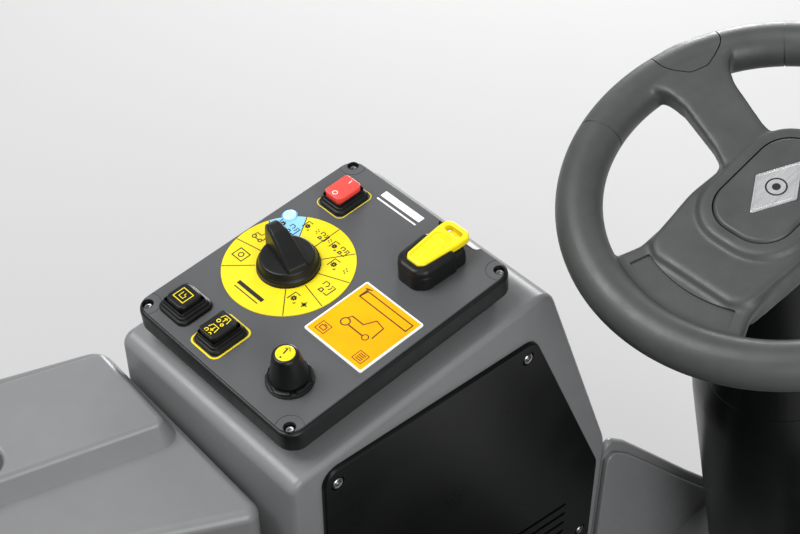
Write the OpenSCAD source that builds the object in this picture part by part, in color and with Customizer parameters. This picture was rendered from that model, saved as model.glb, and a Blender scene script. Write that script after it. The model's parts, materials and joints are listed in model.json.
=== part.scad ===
// Ride-on sweeper-scrubber with a steered front wheel, two fixed rear wheels,
// a lifting deck with two brush rollers, a side broom, a debris hopper, a
// squeegee with suction hose, side water tanks, a rear recovery tank and an
// operator's place with seat, pedals, steering tower and control console.
// Millimetres. X forward, Y to the left, Z up. The origin is on the floor
// under the middle of the machine's plan box.

/* [Overall] */
// Overall length, bumper to tank
machine_l = 1600; // [1500:10:1700]
// Overall width, over the squeegee's end rollers
machine_w = 910; // [880:2:940]
// Width over the side tanks
body_w = 800; // [760:10:840]
// Height of the side tanks' shoulder above the floor
shoulder_z = 795; // [760:5:830]
// Height of the footwell's mat above the floor
step_z = 300; // [290:2:320]
// Height the chassis and the tanks' lower edges are clear of the floor
skirt_z = 232; // [226:1:236]

/* [Wheels] */
// Radius of the front tyre
front_tyre_r = 140; // [130:1:140]
// Width of the front tyre
front_tyre_w = 90; // [70:1:92]
// Distance of the front wheel ahead of the middle
front_axle_x = 600; // [590:1:605]
// Radius of the rear tyres
rear_tyre_r = 150; // [140:1:155]
// Width of the rear tyres
rear_tyre_w = 60; // [50:1:64]
// Distance of the rear axle behind the middle
rear_axle_x = 470; // [450:1:480]
// Radius of the kingpin
kingpin_r = 25; // [20:1:30]
// Radius of the rear axle stubs
stub_r = 12.5; // [10:0.5:15]

/* [Steering] */
// Distance of the steering wheel's middle ahead of the machine's middle
helm_x = 402; // [380:1:420]
// Height of the steering wheel's middle
helm_z = 942; // [920:1:960]
// Lean of the steering column from upright, in degrees
helm_tilt = 16; // [10:1:20]
// Outer radius of the steering wheel
helm_r = 165; // [150:1:175]
// Radius of the steering wheel's rim tube
rim_r = 18; // [14:0.5:20]
// Radius of the steering tower
tower_r = 78; // [70:1:82]
// Radius of the steering shaft
shaft_r = 14; // [10:1:16]

/* [Console] */
// Console's inner face, distance left of the centre line
console_y0 = 105; // [100:1:115]
// Console's outer face, distance left of the centre line
console_y1 = 312; // [300:1:320]
// Console's rear face
console_x0 = 19; // [17:1:30]
// Console's front edge at the top
console_x1 = 280; // [270:1:300]
// Console's front face lower down
console_x2 = 374; // [360:1:380]
// Height at which the sloping front meets the upright front
console_bend_z = 600; // [560:5:640]
// Tilt of the control panel, front edge up, in degrees
panel_tilt = 5; // [0:0.5:12]
// Height of the panel's middle
panel_z = 870; // [850:1:890]
// Panel width across the machine
panel_w = 184; // [180:1:190]
// Panel length along the machine
panel_l = 224; // [218:1:230]

/* [Controls] */
// Outer radius of the programme dial
dial_r = 52; // [45:1:54]
// Radius of the programme knob's skirt
knob_r = 24.5; // [20:0.5:24.8]
// Height of the programme knob's grip above the panel
knob_h = 34; // [25:1:40]
// Direction the programme knob points at rest, anticlockwise from machine right, in degrees
knob_aim = 140; // [90:1:180]
// Side of the square display
lcd_w = 63; // [55:1:66]
// Radius of the info knob's foot ring
info_r = 18; // [15:0.5:19]
// Height of the info knob
info_h = 30; // [24:1:34]
// Travel of the horn button
horn_travel = 2.5; // [1:0.5:3]
// Radius of the knobs' spindles
spindle_r = 3; // [2.5:0.5:4]

/* [Seat] */
// Height of the seat base's top
hood_z = 565; // [545:5:575]
// Length of the seat cushion
cushion_l = 380; // [350:5:390]
// Half width of the seat cushion
cushion_hw = 190; // [170:5:195]
// Thickness of the seat cushion
cushion_t = 70; // [50:5:75]
// Height of the backrest
back_h = 420; // [360:10:450]
// Lean of the backrest, in degrees
back_lean = 8; // [4:1:12]

/* [Brush deck] */
// Radius of the brush rollers
brush_r = 75; // [65:1:76]
// Length of the brush rollers' bristles
brush_l = 620; // [560:10:640]
// Distance between the brush rollers' axes
brush_pitch = 165; // [158:1:170]
// Half width of the deck's housing
deck_hw = 350; // [330:5:360]
// Travel of the deck when lifted
deck_lift = 45; // [30:1:45]

/* [Broom and squeegee] */
// Radius of the side broom at the floor
broom_r = 165; // [150:1:170]
// Distance of the side broom ahead of the middle
broom_x = 440; // [435:1:450]
// Distance of the side broom right of the middle
broom_y = 290; // [285:1:300]
// Radius of the squeegee's sweep
squeegee_arc_r = 1400; // [1300:10:1600]
// Travel of the squeegee when lifted
squeegee_lift = 50; // [30:5:50]
// Outer radius of the suction hose
hose_r = 28; // [22:1:30]

/* [Tanks] */
// Length of the recovery tank
tank_l = 186; // [160:2:190]
// Wall of the moulded tanks and covers
wall = 5; // [4:0.5:6]
// Width of the hopper along the machine
hopper_l = 140; // [120:2:144]
// Radius of the filler neck
filler_r = 40; // [30:1:42]

/* [Clearances] */
// Radial clearance of pins and shafts in their bores
run_gap = 0.05; // [0.02:0.01:0.1]
// Gap between a moving control and its surround
key_gap = 0.4; // [0.3:0.1:0.6]
// Gap between neighbouring body panels
panel_gap = 1; // [0.5:0.5:2]
// Gap round a soft cushion
soft_gap = 0.3; // [0.3:0.1:0.6]

/* [Hidden] */
$fn = 64;
eps = 0.01;            // overlap of joined pieces and overshoot of cuts
big = 2000;            // a cut that goes right through

front_x = machine_l / 2;
rear_x = -machine_l / 2;
body_hw = body_w / 2;
axle_x = -rear_axle_x;

// chassis
rail_w = 40;
rail_h = 50;
rail_wall = 4;
rail_y = 150;
floor_t = 6;
mat_t = 4;
rail_top = step_z - floor_t - mat_t;
rail_z = rail_top - rail_h;
rail_x0 = rear_x + 65;
riser_x = 400;
riser_t = 24;
beam_z = step_z;
beam_t = 40;
beam_hw = 60;
beam_x1 = 680;
horn_beam_hw = 40;
horn_beam_x1 = 770;
cross_w = 40;
lash_r = 11;
lash_t = 10;
lash_front_x = 768;
lash_front_z = beam_z - 20;
lash_rear_x = rail_x0 - 22;
lash_rear_z = rail_top - rail_h / 2;
deck_post_r = 12;
squeegee_post_r = 10;
squeegee_post_y = 100;

// wheels
front_z = front_tyre_r;
rear_z = rear_tyre_r;
rear_wheel_y = body_hw - rear_tyre_w / 2;
hub_motor_r = 92;
rear_hub_r = 88;
axle_pin_r = 12;
fork_top = beam_z - 4;
fork_t = 12;
fork_leg_y = front_tyre_w / 2 + 5;
tyre_round = 14;
arch_r = rear_tyre_r + 22;

// console and panel
panel_x = 140;
panel_y = 210;
panel_round = 14;
plinth_h = 32;
tray_h = 20;
tray_step = 8;
fascia_t = 1.5;
fascia_inset = 4;
screw_u = 83;
screw_v = 103.5;
dial_u = -36;
dial_v = -4;
dial_hole = 25;
dial_t = 0.8;
led_a = 139;
led_d = 53;
led_r = 5.5;
power_u = -59.2;
power_v = 73;
dir_u = -17.5;
dir_v = -85;
horn_u = -59.5;
horn_v = -85;
info_u = 51;
info_v = -76;
lcd_u = 51.5;
lcd_v = -5.5;
holder_u = 43.5;
holder_v = 71;
holder_w = 33;
holder_l = 48;
holder_h = 14;
rocker_w = 17;
rocker_l = 23;
rocker_axis = 5;
rocker_gap = 0.8;
boot_h = 9;
horn_side = 18;
cover_t = 4;
console_top_z = panel_z - (plinth_h + 0.02) / cos(panel_tilt);
nose_y0 = 100;
nose_y1 = 112;
nose_x0 = console_x2 + panel_gap;
cowl_hw = 128;
cowl_x = front_x - cowl_hw - 10;
cowl_x0 = 604;
cowl_top = 400;
bumper_t = 10;
lip = [[nose_x0, 598], [406, 570], [448, 520], [518, 436], [582, 362], [612, 340]];
lip_drop = 14;
nose_floor_z = beam_z + beam_t + 2;
light_r = 18;
light_a = 28;
light_z = 362;

// operator's place
pedal_x = 270;
pedal_l = 118;
pedal_w = 58;
pedal_t = 8;
pedal_a = 24;
pedal_pin_r = 5;
pedal_z = step_z + 12;
hood_x0 = rear_x + 202;
hood_x1 = -60;
hood_hw = 226;
cushion_x1 = -62;
cushion_x0 = cushion_x1 - cushion_l;
slide_h = 10;
pan_t = 22;
pan_z = hood_z + slide_h + 0.6;
cushion_z = pan_z + pan_t + soft_gap;
back_x = cushion_x0 + 2;
back_pivot_z = cushion_z + cushion_t + 40;
back_pin_r = 6;
arm_t = 8;
arm_y = 205;

// tanks
tank_x0 = rear_x + 14;
tank_x1 = tank_x0 + tank_l;
tank_z0 = step_z + 12;
tank_hw = body_hw - 4;
tank_wall = 6;
lid_z = shoulder_z + 5.6;
lid_h = 46;
side_front_x = 9;
pad_h = 20;
pocket_x = -108;
pocket_l = 130;
pocket_y = 268;
pocket_w = 77;
pocket_d = 60;
filler_x = -420;
filler_y = 322;

// deck, hopper, broom, squeegee
deck_x0 = -95;
deck_x1 = 245;
deck_t = 5;
deck_top = 172;
floor_gap = 0.3;
rear_brush_x = deck_x0 + 90;
front_brush_x = rear_brush_x + brush_pitch;
brush_shaft_r = 15;
hopper_x1 = -118;
hopper_x0 = hopper_x1 - hopper_l;
hopper_hw = 325;
hopper_z = 45;
hopper_h = 145;
hopper_wall = 4;
flange_w = 14;
flange_t = 4;
broom_pivot_x = 300;
broom_pivot_z = 205;
broom_pin_r = 8;
broom_motor_r = 45;
broom_hub_z = 75;
squeegee_x = rear_x + 85;
squeegee_c = squeegee_x + squeegee_arc_r;
squeegee_w = 40;
squeegee_z = 45;
squeegee_h = 35;
squeegee_end_y = machine_w / 2 - 22;
squeegee_a = asin((squeegee_end_y - 6) / squeegee_arc_r);
blade_t = 3.5;
nozzle_h = 40;
hose_z0 = squeegee_z + squeegee_h + nozzle_h;

// ---- shared shapes ----
module rr(w, h, r) {
    square([w - 2 * r, h], center = true);
    square([w, h - 2 * r], center = true);
    for (sx = [-1, 1], sy = [-1, 1]) translate([sx * (w / 2 - r), sy * (h / 2 - r)]) circle(r);
}
module rblock(w, d, h, r) linear_extrude(h) rr(w, d, r);
module block(x0, x1, y0, y1, z0, z1) translate([x0, y0, z0]) cube([x1 - x0, y1 - y0, z1 - z0]);
module across(x, z, y0, y1, r) translate([x, y0, z]) rotate([-90, 0, 0]) cylinder(r = r, h = y1 - y0);
module rod(p, q, r) {
    d = q - p;
    translate(p) rotate([0, acos(d[2] / norm(d)), atan2(d[1], d[0])]) cylinder(r = r, h = norm(d));
}
module side(y0, y1) translate([0, y1, 0]) rotate([90, 0, 0]) linear_extrude(y1 - y0) children();
module both() { children(); mirror([0, 1, 0]) children(); }
// u to the machine's right, v forward up the panel, h above it
module on_panel(u = 0, v = 0, h = 0)
    translate([panel_x, panel_y, panel_z]) rotate([0, -panel_tilt, 0]) translate([v, -u, h]) children();
module at_helm(h = 0)
    translate([helm_x, 0, helm_z]) rotate([0, -helm_tilt, 0]) translate([0, 0, h]) children();
module slot_bore(r, z0, z1) translate([0, 0, z0]) cylinder(r = r, h = z1 - z0);

// ---- chassis ----
module rail() difference() {
    block(rail_x0, riser_x + eps, rail_y - rail_w / 2, rail_y + rail_w / 2, rail_z, rail_top);
    block(rail_x0 - 1, riser_x - rail_wall, rail_y - rail_w / 2 + rail_wall, rail_y + rail_w / 2 - rail_wall,
        rail_z + rail_wall, rail_top - rail_wall);
    for (x = deck_post_x) translate([x, rail_y, rail_z - 1]) cylinder(r = deck_post_r + run_gap, h = rail_h + 2);
}
deck_post_x = [deck_x0 + 40, deck_x1 - 40];
guide_y = rail_y - rail_w / 2;
module post_guide() difference() {
    block(squeegee_post_x - 24, squeegee_post_x + 24, squeegee_post_y - 26, guide_y + eps, rail_z, rail_top);
    translate([squeegee_post_x, squeegee_post_y, rail_z - 1]) cylinder(r = squeegee_post_r + run_gap, h = rail_h + 2);
}
squeegee_post_x = squeegee_c - sqrt(pow(squeegee_arc_r, 2) - pow(squeegee_post_y, 2));
module lash_rear() difference() {
    union() {
        block(lash_rear_x, rail_x0 + eps, rail_y - lash_t / 2, rail_y + lash_t / 2, rail_z, rail_top);
        across(lash_rear_x, lash_rear_z, rail_y - lash_t / 2, rail_y + lash_t / 2, rail_h / 2);
    }
    across(lash_rear_x, lash_rear_z, rail_y - rail_w, rail_y + rail_w, lash_r);
}
hopper_guide_z = hopper_z + hopper_h - 9;
module hopper_guides() {
    for (g = [[hopper_x0 - flange_w - 8, hopper_x0 - 2, 0], [hopper_x1 + 2, hopper_x1 + 20, 1]]) {
        block(g[0], g[1], -hopper_hw + panel_gap, hopper_hw, hopper_guide_z, hopper_guide_z + 8);
        h0 = g[2] == 0 ? g[0] : g[1] - 7;
        both() block(h0, h0 + 7, rail_y - 10, rail_y + 10, hopper_guide_z + 8 - eps, rail_z + eps);
    }
}
outrig_y1 = rail_y + rail_w / 2;
broom_lug_y = [broom_y - 62, broom_y + 4];
lug_t = 6;
module outrigger() {
    block(broom_pivot_x - 15, broom_pivot_x + 15, -broom_lug_y[1] - lug_t, -outrig_y1 + eps, rail_z, rail_top - 4);
    for (y = broom_lug_y) {
        block(broom_pivot_x - 15, broom_pivot_x + 15, -y - lug_t, -y, broom_pivot_z, rail_z + eps);
        across(broom_pivot_x, broom_pivot_z, -y - lug_t, -y, 15);
    }
    across(broom_pivot_x, broom_pivot_z, -broom_lug_y[1] - lug_t, -broom_lug_y[0], broom_pin_r);
}
module chassis_frame() color("#26282a") difference() {
    union() {
        both() { rail(); post_guide(); lash_rear(); }
        for (x = [rail_x0 + 75, axle_x + 70, -20])
            block(x, x + cross_w, -rail_y, rail_y, rail_z + rail_wall / 2, rail_top - rail_wall / 2);
        block(riser_x, riser_x + riser_t, -outrig_y1, outrig_y1, rail_z, beam_z + beam_t);
        block(riser_x + riser_t - eps, beam_x1, -beam_hw, beam_hw, beam_z, beam_z + beam_t);
        block(beam_x1 - eps, horn_beam_x1, -horn_beam_hw, horn_beam_hw, beam_z, beam_z + beam_t);
        block(lash_front_x - 16, lash_front_x + 16, -lash_t / 2, lash_t / 2, lash_front_z, beam_z + eps);
        across(lash_front_x, lash_front_z, -lash_t / 2, lash_t / 2, 16);
        both() block(axle_x - 26, axle_x + 26, rail_y - rail_w / 2, rail_y + rail_w / 2, rear_z + 20, rail_z + eps);
        hopper_guides();
        outrigger();
    }
    translate([front_axle_x, 0, beam_z - 1]) cylinder(r = kingpin_r + run_gap, h = beam_t + 2);
    across(lash_front_x, lash_front_z, -lash_t, lash_t, lash_r);
}
axle_beam_r = 19;
module rear_axle() color("#2d2f31") {
    across(axle_x, rear_z, -rear_wheel_y + rear_tyre_w / 2 + 4, rear_wheel_y - rear_tyre_w / 2 - 4, axle_beam_r);
    across(axle_x, rear_z, -body_hw + 2, body_hw - 2, stub_r);
    both() block(axle_x - 24, axle_x + 24, rail_y - rail_w / 2, rail_y + rail_w / 2, rear_z - 24, rear_z + 20 - panel_gap / 2);
}

// ---- wheels ----
module tyre(r, w, r_in) rotate([90, 0, 0]) rotate_extrude($fn = 96) {
    difference() {
        translate([r_in, -w / 2]) square([r - r_in, w]);
        for (s = [-1, 1]) translate([r - tyre_round, s * (w / 2 - tyre_round)]) scale([1, s])
            difference() { square(tyre_round + 1); circle(tyre_round); }
    }
}
module hub(r, w, bore) rotate([90, 0, 0]) rotate_extrude($fn = 96) polygon([
    [bore, -w / 2 - 4], [bore * 2.4, -w / 2 - 4], [bore * 2.4, -w / 2 + 8], [r - 16, -w / 2 + 8], [r - 12, -w / 2 - 1],
    [r, -w / 2 - 1], [r, w / 2 + 1], [r - 12, w / 2 + 1], [r - 16, w / 2 - 8], [bore * 2.4, w / 2 - 8],
    [bore * 2.4, w / 2 + 4], [bore, w / 2 + 4]]);
module at_front() translate([front_axle_x, 0, front_z]) children();
module at_rear(s) translate([axle_x, s * rear_wheel_y, rear_z]) children();
module front_tyre() color("#3a3b3c") at_front() tyre(front_tyre_r, front_tyre_w - 10, hub_motor_r + panel_gap / 50);
module front_hub() color("#8c9094") at_front() hub(hub_motor_r, front_tyre_w - 12, axle_pin_r + run_gap);
module rear_tyre_left() color("#3a3b3c") at_rear(1) tyre(rear_tyre_r, rear_tyre_w, rear_hub_r + panel_gap / 50);
module rear_tyre_right() color("#3a3b3c") at_rear(-1) tyre(rear_tyre_r, rear_tyre_w, rear_hub_r + panel_gap / 50);
module rear_hub_left() color("#9a9da0") at_rear(1) hub(rear_hub_r, rear_tyre_w - 10, stub_r + run_gap);
module rear_hub_right() color("#9a9da0") at_rear(-1) hub(rear_hub_r, rear_tyre_w - 10, stub_r + run_gap);
module front_fork() color("#2b2d2f") {
    translate([front_axle_x, 0, fork_top - fork_t]) cylinder(r = 56, h = fork_t);
    translate([front_axle_x, 0, fork_top - eps]) cylinder(r = 40, h = beam_z - fork_top - 0.5);
    translate([front_axle_x, 0, fork_top - eps]) cylinder(r = kingpin_r, h = beam_t + 2);
    both() {
        block(front_axle_x - 32, front_axle_x + 32, fork_leg_y, fork_leg_y + fork_t, front_z, fork_top - eps);
        across(front_axle_x, front_z, fork_leg_y, fork_leg_y + fork_t, 32);
    }
    across(front_axle_x, front_z, -fork_leg_y - fork_t - 8, fork_leg_y + fork_t + 8, axle_pin_r);
}

// ---- steering ----
rim_c = helm_r - rim_r;
module helm_spoke(a, w, l, drop) rotate([0, 0, a]) linear_extrude(12)
    polygon([[20, -w * 0.62], [l * 0.55, -w * 0.45], [l, -w * 0.6], [l, w * 0.6], [l * 0.55, w * 0.45], [20, w * 0.62]]);
module steering_wheel() color("#4a4d4f") at_helm() {
    rotate_extrude($fn = 128) translate([rim_c, 0]) circle(rim_r, $fn = 48);
    translate([0, 0, -8]) for (a = [-69, 69]) helm_spoke(a, 44, rim_c, 0);
    translate([0, 0, -8]) helm_spoke(180, 84, rim_c, 0);
    difference() {
        union() {
            translate([0, 0, -34]) cylinder(r1 = 44, r2 = 56, h = 27);
            translate([-4, 0, -8]) rblock(118, 82, 13, 34);
        }
        translate([0, 0, -35]) cylinder(r = shaft_r + 0.01, h = 22);
    }
}
hub_cover_t = 7;
module hub_cover() color("#3e4143") at_helm(5 + soft_gap / 10) translate([-4, 0, 0]) rblock(98, 64, hub_cover_t, 26);
shaft_end = 590;
module steering_shaft() color("#8c9094") at_helm(-shaft_end) cylinder(r = shaft_r, h = shaft_end - 14);
tower_top = 44;
module steering_tower() color("#1f2122") difference() {
    at_helm(-720) rotate_extrude($fn = 96) difference() {
        polygon([[0, 0], [tower_r, 0], [tower_r, 720 - 230], [56, 720 - 120], [52, 720 - tower_top], [0, 720 - tower_top]]);
        polygon([[-1, -1], [tower_r - wall, -1], [tower_r - wall, 720 - 232], [50, 720 - 122], [46, 720 - tower_top - 8],
            [shaft_r + 2, 720 - tower_top - 8], [shaft_r + 2, 730], [-1, 730]]);
    }
    translate([0, -big / 2, nose_floor_z + wall + 0.3 - big]) cube([big, big, big]);
}
gear_z = beam_z + beam_t;
gear_h = 50;
gear_hw = 36;
gear_l0 = 62;
gear_l1 = 24;
module steering_gearbox() color("#6d7073") difference() {
    block(front_axle_x - gear_l0, front_axle_x + gear_l1, -gear_hw, gear_hw, gear_z, gear_z + gear_h);
    translate([front_axle_x, 0, gear_z - 1]) cylinder(r = kingpin_r + 4, h = 8);
    at_helm(-shaft_end - 2) cylinder(r = shaft_r + run_gap, h = shaft_end);
}

// ---- footwell ----
floor_x1 = riser_x - 2;
floor_y0 = 330;
floor_y1 = console_y0 - 2;
module floor_outline(inset, x1) {
    translate([side_front_x + 2 + inset, -floor_y0 + inset]) square([x1 - side_front_x - 2 - 2 * inset, floor_y0 + floor_y1 - 2 * inset]);
    translate([hood_x1 + 2 + inset, -116 + inset]) square([80, 232 - 2 * inset - 14]);
}
module floor_pan() color("#313335") {
    translate([0, 0, rail_top]) linear_extrude(floor_t) floor_outline(0, floor_x1);
    block(side_front_x + 2, floor_x1, -floor_y0, -floor_y0 + 4, skirt_z, rail_top + floor_t - eps);
    block(floor_x1 - 4, floor_x1, -floor_y0, -nose_y1 - 2, rail_top, step_z + 28);
    block(floor_x1 - 4, floor_x1, -floor_y0, -outrig_y1 - 2, skirt_z, rail_top + floor_t - eps);
}
mat_inset = 5;
module floor_mat() color("#1b1c1d") {
    translate([0, 0, rail_top + floor_t]) linear_extrude(mat_t - 1) floor_outline(mat_inset, floor_x1 - 4);
    for (x = [40 : 26 : 230]) block(x, x + 12, -floor_y0 + 20, floor_y1 - 12, step_z - 1 - eps, step_z);
}
module pedal_pos(y) translate([pedal_x, y, pedal_z]) children();
pedal_ys = [-70, 48];
module pedal_mount() color("#2c2e30") for (y = pedal_ys) pedal_pos(y) difference() {
    union() {
        translate([-16, -pedal_w / 2 - 9, -pedal_z + step_z - 1]) cube([36, pedal_w + 18, 4]);
        for (s = [-1, 1]) translate([0, s * (pedal_w / 2 + 5), 0]) {
            across(0, 0, -3, 3, 9);
            translate([-9, -3, -pedal_z + step_z + 3 - eps]) cube([18, 6, pedal_z - step_z - 3]);
        }
    }
    across(0, 0, -pedal_w, pedal_w, pedal_pin_r + run_gap);
}
module pedal(y) pedal_pos(y) {
    across(0, 0, -pedal_w / 2 - 9, pedal_w / 2 + 9, pedal_pin_r);
    across(0, 0, -pedal_w / 2 + 1, pedal_w / 2 - 1, 8);
    rotate([0, -pedal_a, 0]) translate([0, 0, 1]) {
        translate([pedal_l / 2, 0, 0]) rblock(pedal_l, pedal_w - 2, pedal_t, 12);
        for (i = [1 : 6]) translate([pedal_l * i / 7 + 4, 0, pedal_t - eps]) linear_extrude(2) square([6, pedal_w - 16], center = true);
    }
}
module accelerator_pedal() color("#1d1f20") pedal(pedal_ys[0]);
module brake_pedal() color("#1d1f20") pedal(pedal_ys[1]);

// ---- side tanks ----
in_y = 121;
in_y2 = 232;
diag_x = -201;
function side_plan(i) = [[side_front_x - i, in_y + 1.55 * i], [diag_x + 0.25 * i, in_y2 + i], [hood_x0 + i, in_y2 + i],
    [hood_x0 + i, body_hw - i], [-150 - 0.25 * i, body_hw - i], [side_front_x - i, 336 - 1.5 * i]];
pad_plan = [[side_front_x, 211], [-132, 253], [-540, 262], [-562, 284], [-562, 362], [-546, 380], [-190, 380], [-66, 348], [side_front_x, 320]];
// room for the chassis rail under a moulded body
module rail_notch() block(-big, big, -1, rail_y + rail_w / 2 + 2, 0, rail_top + panel_gap / 2);
module side_shell() difference() {
    union() {
        translate([0, 0, skirt_z]) linear_extrude(shoulder_z - skirt_z) polygon(side_plan(0));
        translate([0, 0, shoulder_z - eps]) linear_extrude(pad_h) polygon(pad_plan);
    }
    difference() {
        translate([0, 0, skirt_z - 1]) linear_extrude(shoulder_z - wall - skirt_z + 1) polygon(side_plan(wall));
        children(1);
        across(axle_x, rear_z, in_y2 - 1, body_hw + 1, arch_r + wall);
    }
    across(axle_x, rear_z, in_y2 - 10, body_hw + 10, arch_r);
    rail_notch();
    children(0);
}
module pocket_hole(g) translate([pocket_x - pocket_l / 2, pocket_y + pocket_w / 2, shoulder_z + pad_h - pocket_d - g])
    rblock(pocket_l + 2 * g, pocket_w + 2 * g, pocket_d + g + 1, 16 + g);
module left_tank() color("#84878a") side_shell() { pocket_hole(0); pocket_hole(wall); }
module neck(g, d) translate([filler_x, filler_y, shoulder_z + pad_h - d]) cylinder(r = filler_r + g, h = d + 1);
module right_tank() color("#84878a") mirror([0, 1, 0]) side_shell() { neck(run_gap, 60); neck(wall, 40); }
module filler_cap() color("#1d1f20") mirror([0, 1, 0]) {
    translate([0, 0, -eps]) difference() { neck(0, 30); neck(-4, 26); }
    translate([filler_x, filler_y, shoulder_z + pad_h + 0.2]) {
        difference() {
            cylinder(r = filler_r + 8, h = 12);
            for (a = [0 : 30 : 330]) rotate([0, 0, a]) translate([filler_r + 9, 0, -1]) cylinder(r = 3, h = 14, $fn = 24);
        }
        translate([-filler_r * 0.7, -6, 12 - eps]) cube([filler_r * 1.4, 12, 10]);
    }
}

// ---- console ----
tan_p = tan(panel_tilt);
function top_at(x, d) = console_top_z + (x - panel_x) * tan_p - d;
function console_profile(i, z0) = [[console_x0 + i, z0], [console_x0 + i, top_at(console_x0 + i, i)],
    [console_x1 - i * 0.7, top_at(console_x1 - i * 0.7, i)], [console_x2 - i, console_bend_z - i * 0.2], [console_x2 - i, z0]];
module console_body() color("#84878a") difference() {
    side(console_y0, console_y1) polygon(console_profile(0, skirt_z));
    side(console_y0 + wall, console_y1 - wall) polygon(console_profile(wall, skirt_z - 1));
    for (p = cover_screw_at) across(p[0], p[1], console_y0 - 1, console_y0 + wall + 1, 2.6);
    rail_notch();
}
cover_plan = [[45, 430], [45, 822], [263, 808], [360, 585], [362, 430]];
cover_screw_at = [[57, 806], [254, 794], [347, 494], [57, 446]];
louvre_n = 6;
louvre_l = 74;
louvre_pitch = 13;
module console_cover() color("#191a1b") difference() {
    side(console_y0 - cover_t, console_y0) polygon(cover_plan);
    for (p = cover_screw_at) {
        across(p[0], p[1], console_y0 - cover_t - 1, console_y0 + 1, 2.6);
        across(p[0], p[1], console_y0 - cover_t - 1, console_y0 - cover_t + 2, 5.4);
    }
    for (i = [0 : louvre_n - 1]) translate([286 - louvre_l / 2, console_y0, 566 - i * louvre_pitch]) rotate([0, 9.2, 0])
        translate([0, -cover_t - 1, -2]) cube([louvre_l, cover_t + 2, 4]);
}
module cover_screws() color("#c9ccd0") for (p = cover_screw_at) {
    across(p[0], p[1], console_y0 - cover_t - 0.2, console_y0 - cover_t + 2, 5);
    across(p[0], p[1], console_y0 - cover_t + 2 - eps, console_y0 + wall + 6, 2.5);
}

// ---- nose ----
function lip_at(d) = [for (p = lip) [p[0], p[1] - d]];
nose_z0 = beam_z - 4;
module nose_wall(x_start) intersection() {
    union() {
        side(nose_y0 + 6, nose_y1) polygon(concat([[nose_x0, nose_z0]], lip_at(0), [[640, 340], [640, nose_z0]]));
        side(nose_y0, nose_y1) polygon(concat([[nose_x0, nose_z0]], lip_at(lip_drop), [[640, 326], [640, nose_z0]]));
    }
    block(x_start, big, 0, big, -big, big);
}
module cowl_plan(g) {
    translate([cowl_x, 0]) circle(cowl_hw - g, $fn = 128);
    translate([cowl_x0 + g, -cowl_hw + g]) square([cowl_x - cowl_x0 - g, 2 * (cowl_hw - g)]);
}
module light_pos() both() translate([cowl_x, 0, light_z]) rotate([0, 0, light_a]) translate([cowl_hw, 0, 0]) rotate([0, 90, 0]) children();
module nose_cowl() color("#84878a") difference() {
    union() {
        nose_wall(nose_x0);
        mirror([0, 1, 0]) nose_wall(riser_x + riser_t + 16);
        block(riser_x - 6, 640, -nose_y1 + 4, nose_y1 - 4, nose_floor_z, nose_floor_z + wall);
        block(riser_x - 6, riser_x - 1.5, -nose_y1 + 4, nose_y1 - 4, step_z, nose_floor_z + eps);
        difference() {
            translate([0, 0, nose_z0]) linear_extrude(cowl_top - nose_z0) cowl_plan(0);
            translate([0, 0, nose_z0 - 1]) linear_extrude(cowl_top - nose_z0 - wall + 1) cowl_plan(wall);
        }
    }
    at_helm(-720) cylinder(r = tower_r - wall - 2, h = 600);
    intersection() {
        at_helm(-640) cylinder(r = tower_r + 1.5, h = 600);
        block(-big, big, -big, big, nose_floor_z + wall, big);
    }
    block(front_axle_x - gear_l0 - 2, front_axle_x + gear_l1 + 2, -gear_hw - 2, gear_hw + 2, gear_z, gear_z + gear_h + 2);
    block(riser_x - 1.4, riser_x + riser_t + 1, -big, big, 0, beam_z + beam_t + panel_gap / 2);
    translate([0, 0, nose_floor_z + wall]) block(520, cowl_x0 + wall + 1, -nose_y0 + 4, nose_y0 - 4, 0, cowl_top - nose_floor_z - 2 * wall);
    light_pos() translate([0, 0, -wall - 12]) cylinder(r = light_r + key_gap, h = wall + 14);
}
bumper_z = 312;
bumper_h = 24;
module front_bumper() color("#1a1b1c") translate([0, 0, bumper_z]) linear_extrude(bumper_h) difference() {
    union() { translate([cowl_x, 0]) circle(cowl_hw + bumper_t, $fn = 128); translate([cowl_x - 50, -cowl_hw - bumper_t]) square([50, 2 * (cowl_hw + bumper_t)]); }
    translate([cowl_x, 0]) circle(cowl_hw + 0.2, $fn = 128);
    translate([cowl_x - 60, -cowl_hw - 0.2]) square([60, 2 * cowl_hw + 0.4]);
    translate([cowl_x - 50 - big, -big / 2]) square([big, big]);
}
module headlights() color("#e9eef2") light_pos() {
    translate([0, 0, -wall - 10]) cylinder(r = light_r, h = wall + 9);
    translate([0, 0, -2]) cylinder(r1 = light_r, r2 = light_r - 3, h = 2.5);
}

// ---- panel ----
module screw_spots() for (su = [-1, 1], sv = [-1, 1]) translate([sv * screw_v, -su * screw_u]) children();
module boot_hole(u, v, w, l, g) translate([v, -u]) square([l + 2 * g, w + 2 * g], center = true);
notch_w = 42;
notch_u = 35;
module panel_housing() color("#101112") on_panel() difference() {
    union() {
        translate([0, 0, -plinth_h]) rblock(panel_l - 2 * tray_step, panel_w - 2 * tray_step, plinth_h - tray_h + eps, panel_round - 4);
        translate([0, 0, -tray_h]) rblock(panel_l, panel_w, tray_h - fascia_t, panel_round);
    }
    translate([0, 0, -plinth_h - 1]) rblock(panel_l - 2 * tray_step - 8, panel_w - 2 * tray_step - 8, plinth_h - 6 + 1, panel_round - 8);
    translate([panel_l / 2, -notch_u, -fascia_t - 12]) rblock(12, notch_w, 20, 5);
    translate([0, 0, -7]) linear_extrude(8) screw_spots() circle(6.2, $fn = 48);
    translate([dial_v, -dial_u, -plinth_h]) cylinder(r = spindle_r + run_gap, h = plinth_h, $fn = 48);
    translate([info_v, -info_u, -plinth_h]) cylinder(r = spindle_r + run_gap, h = plinth_h, $fn = 48);
}
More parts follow.
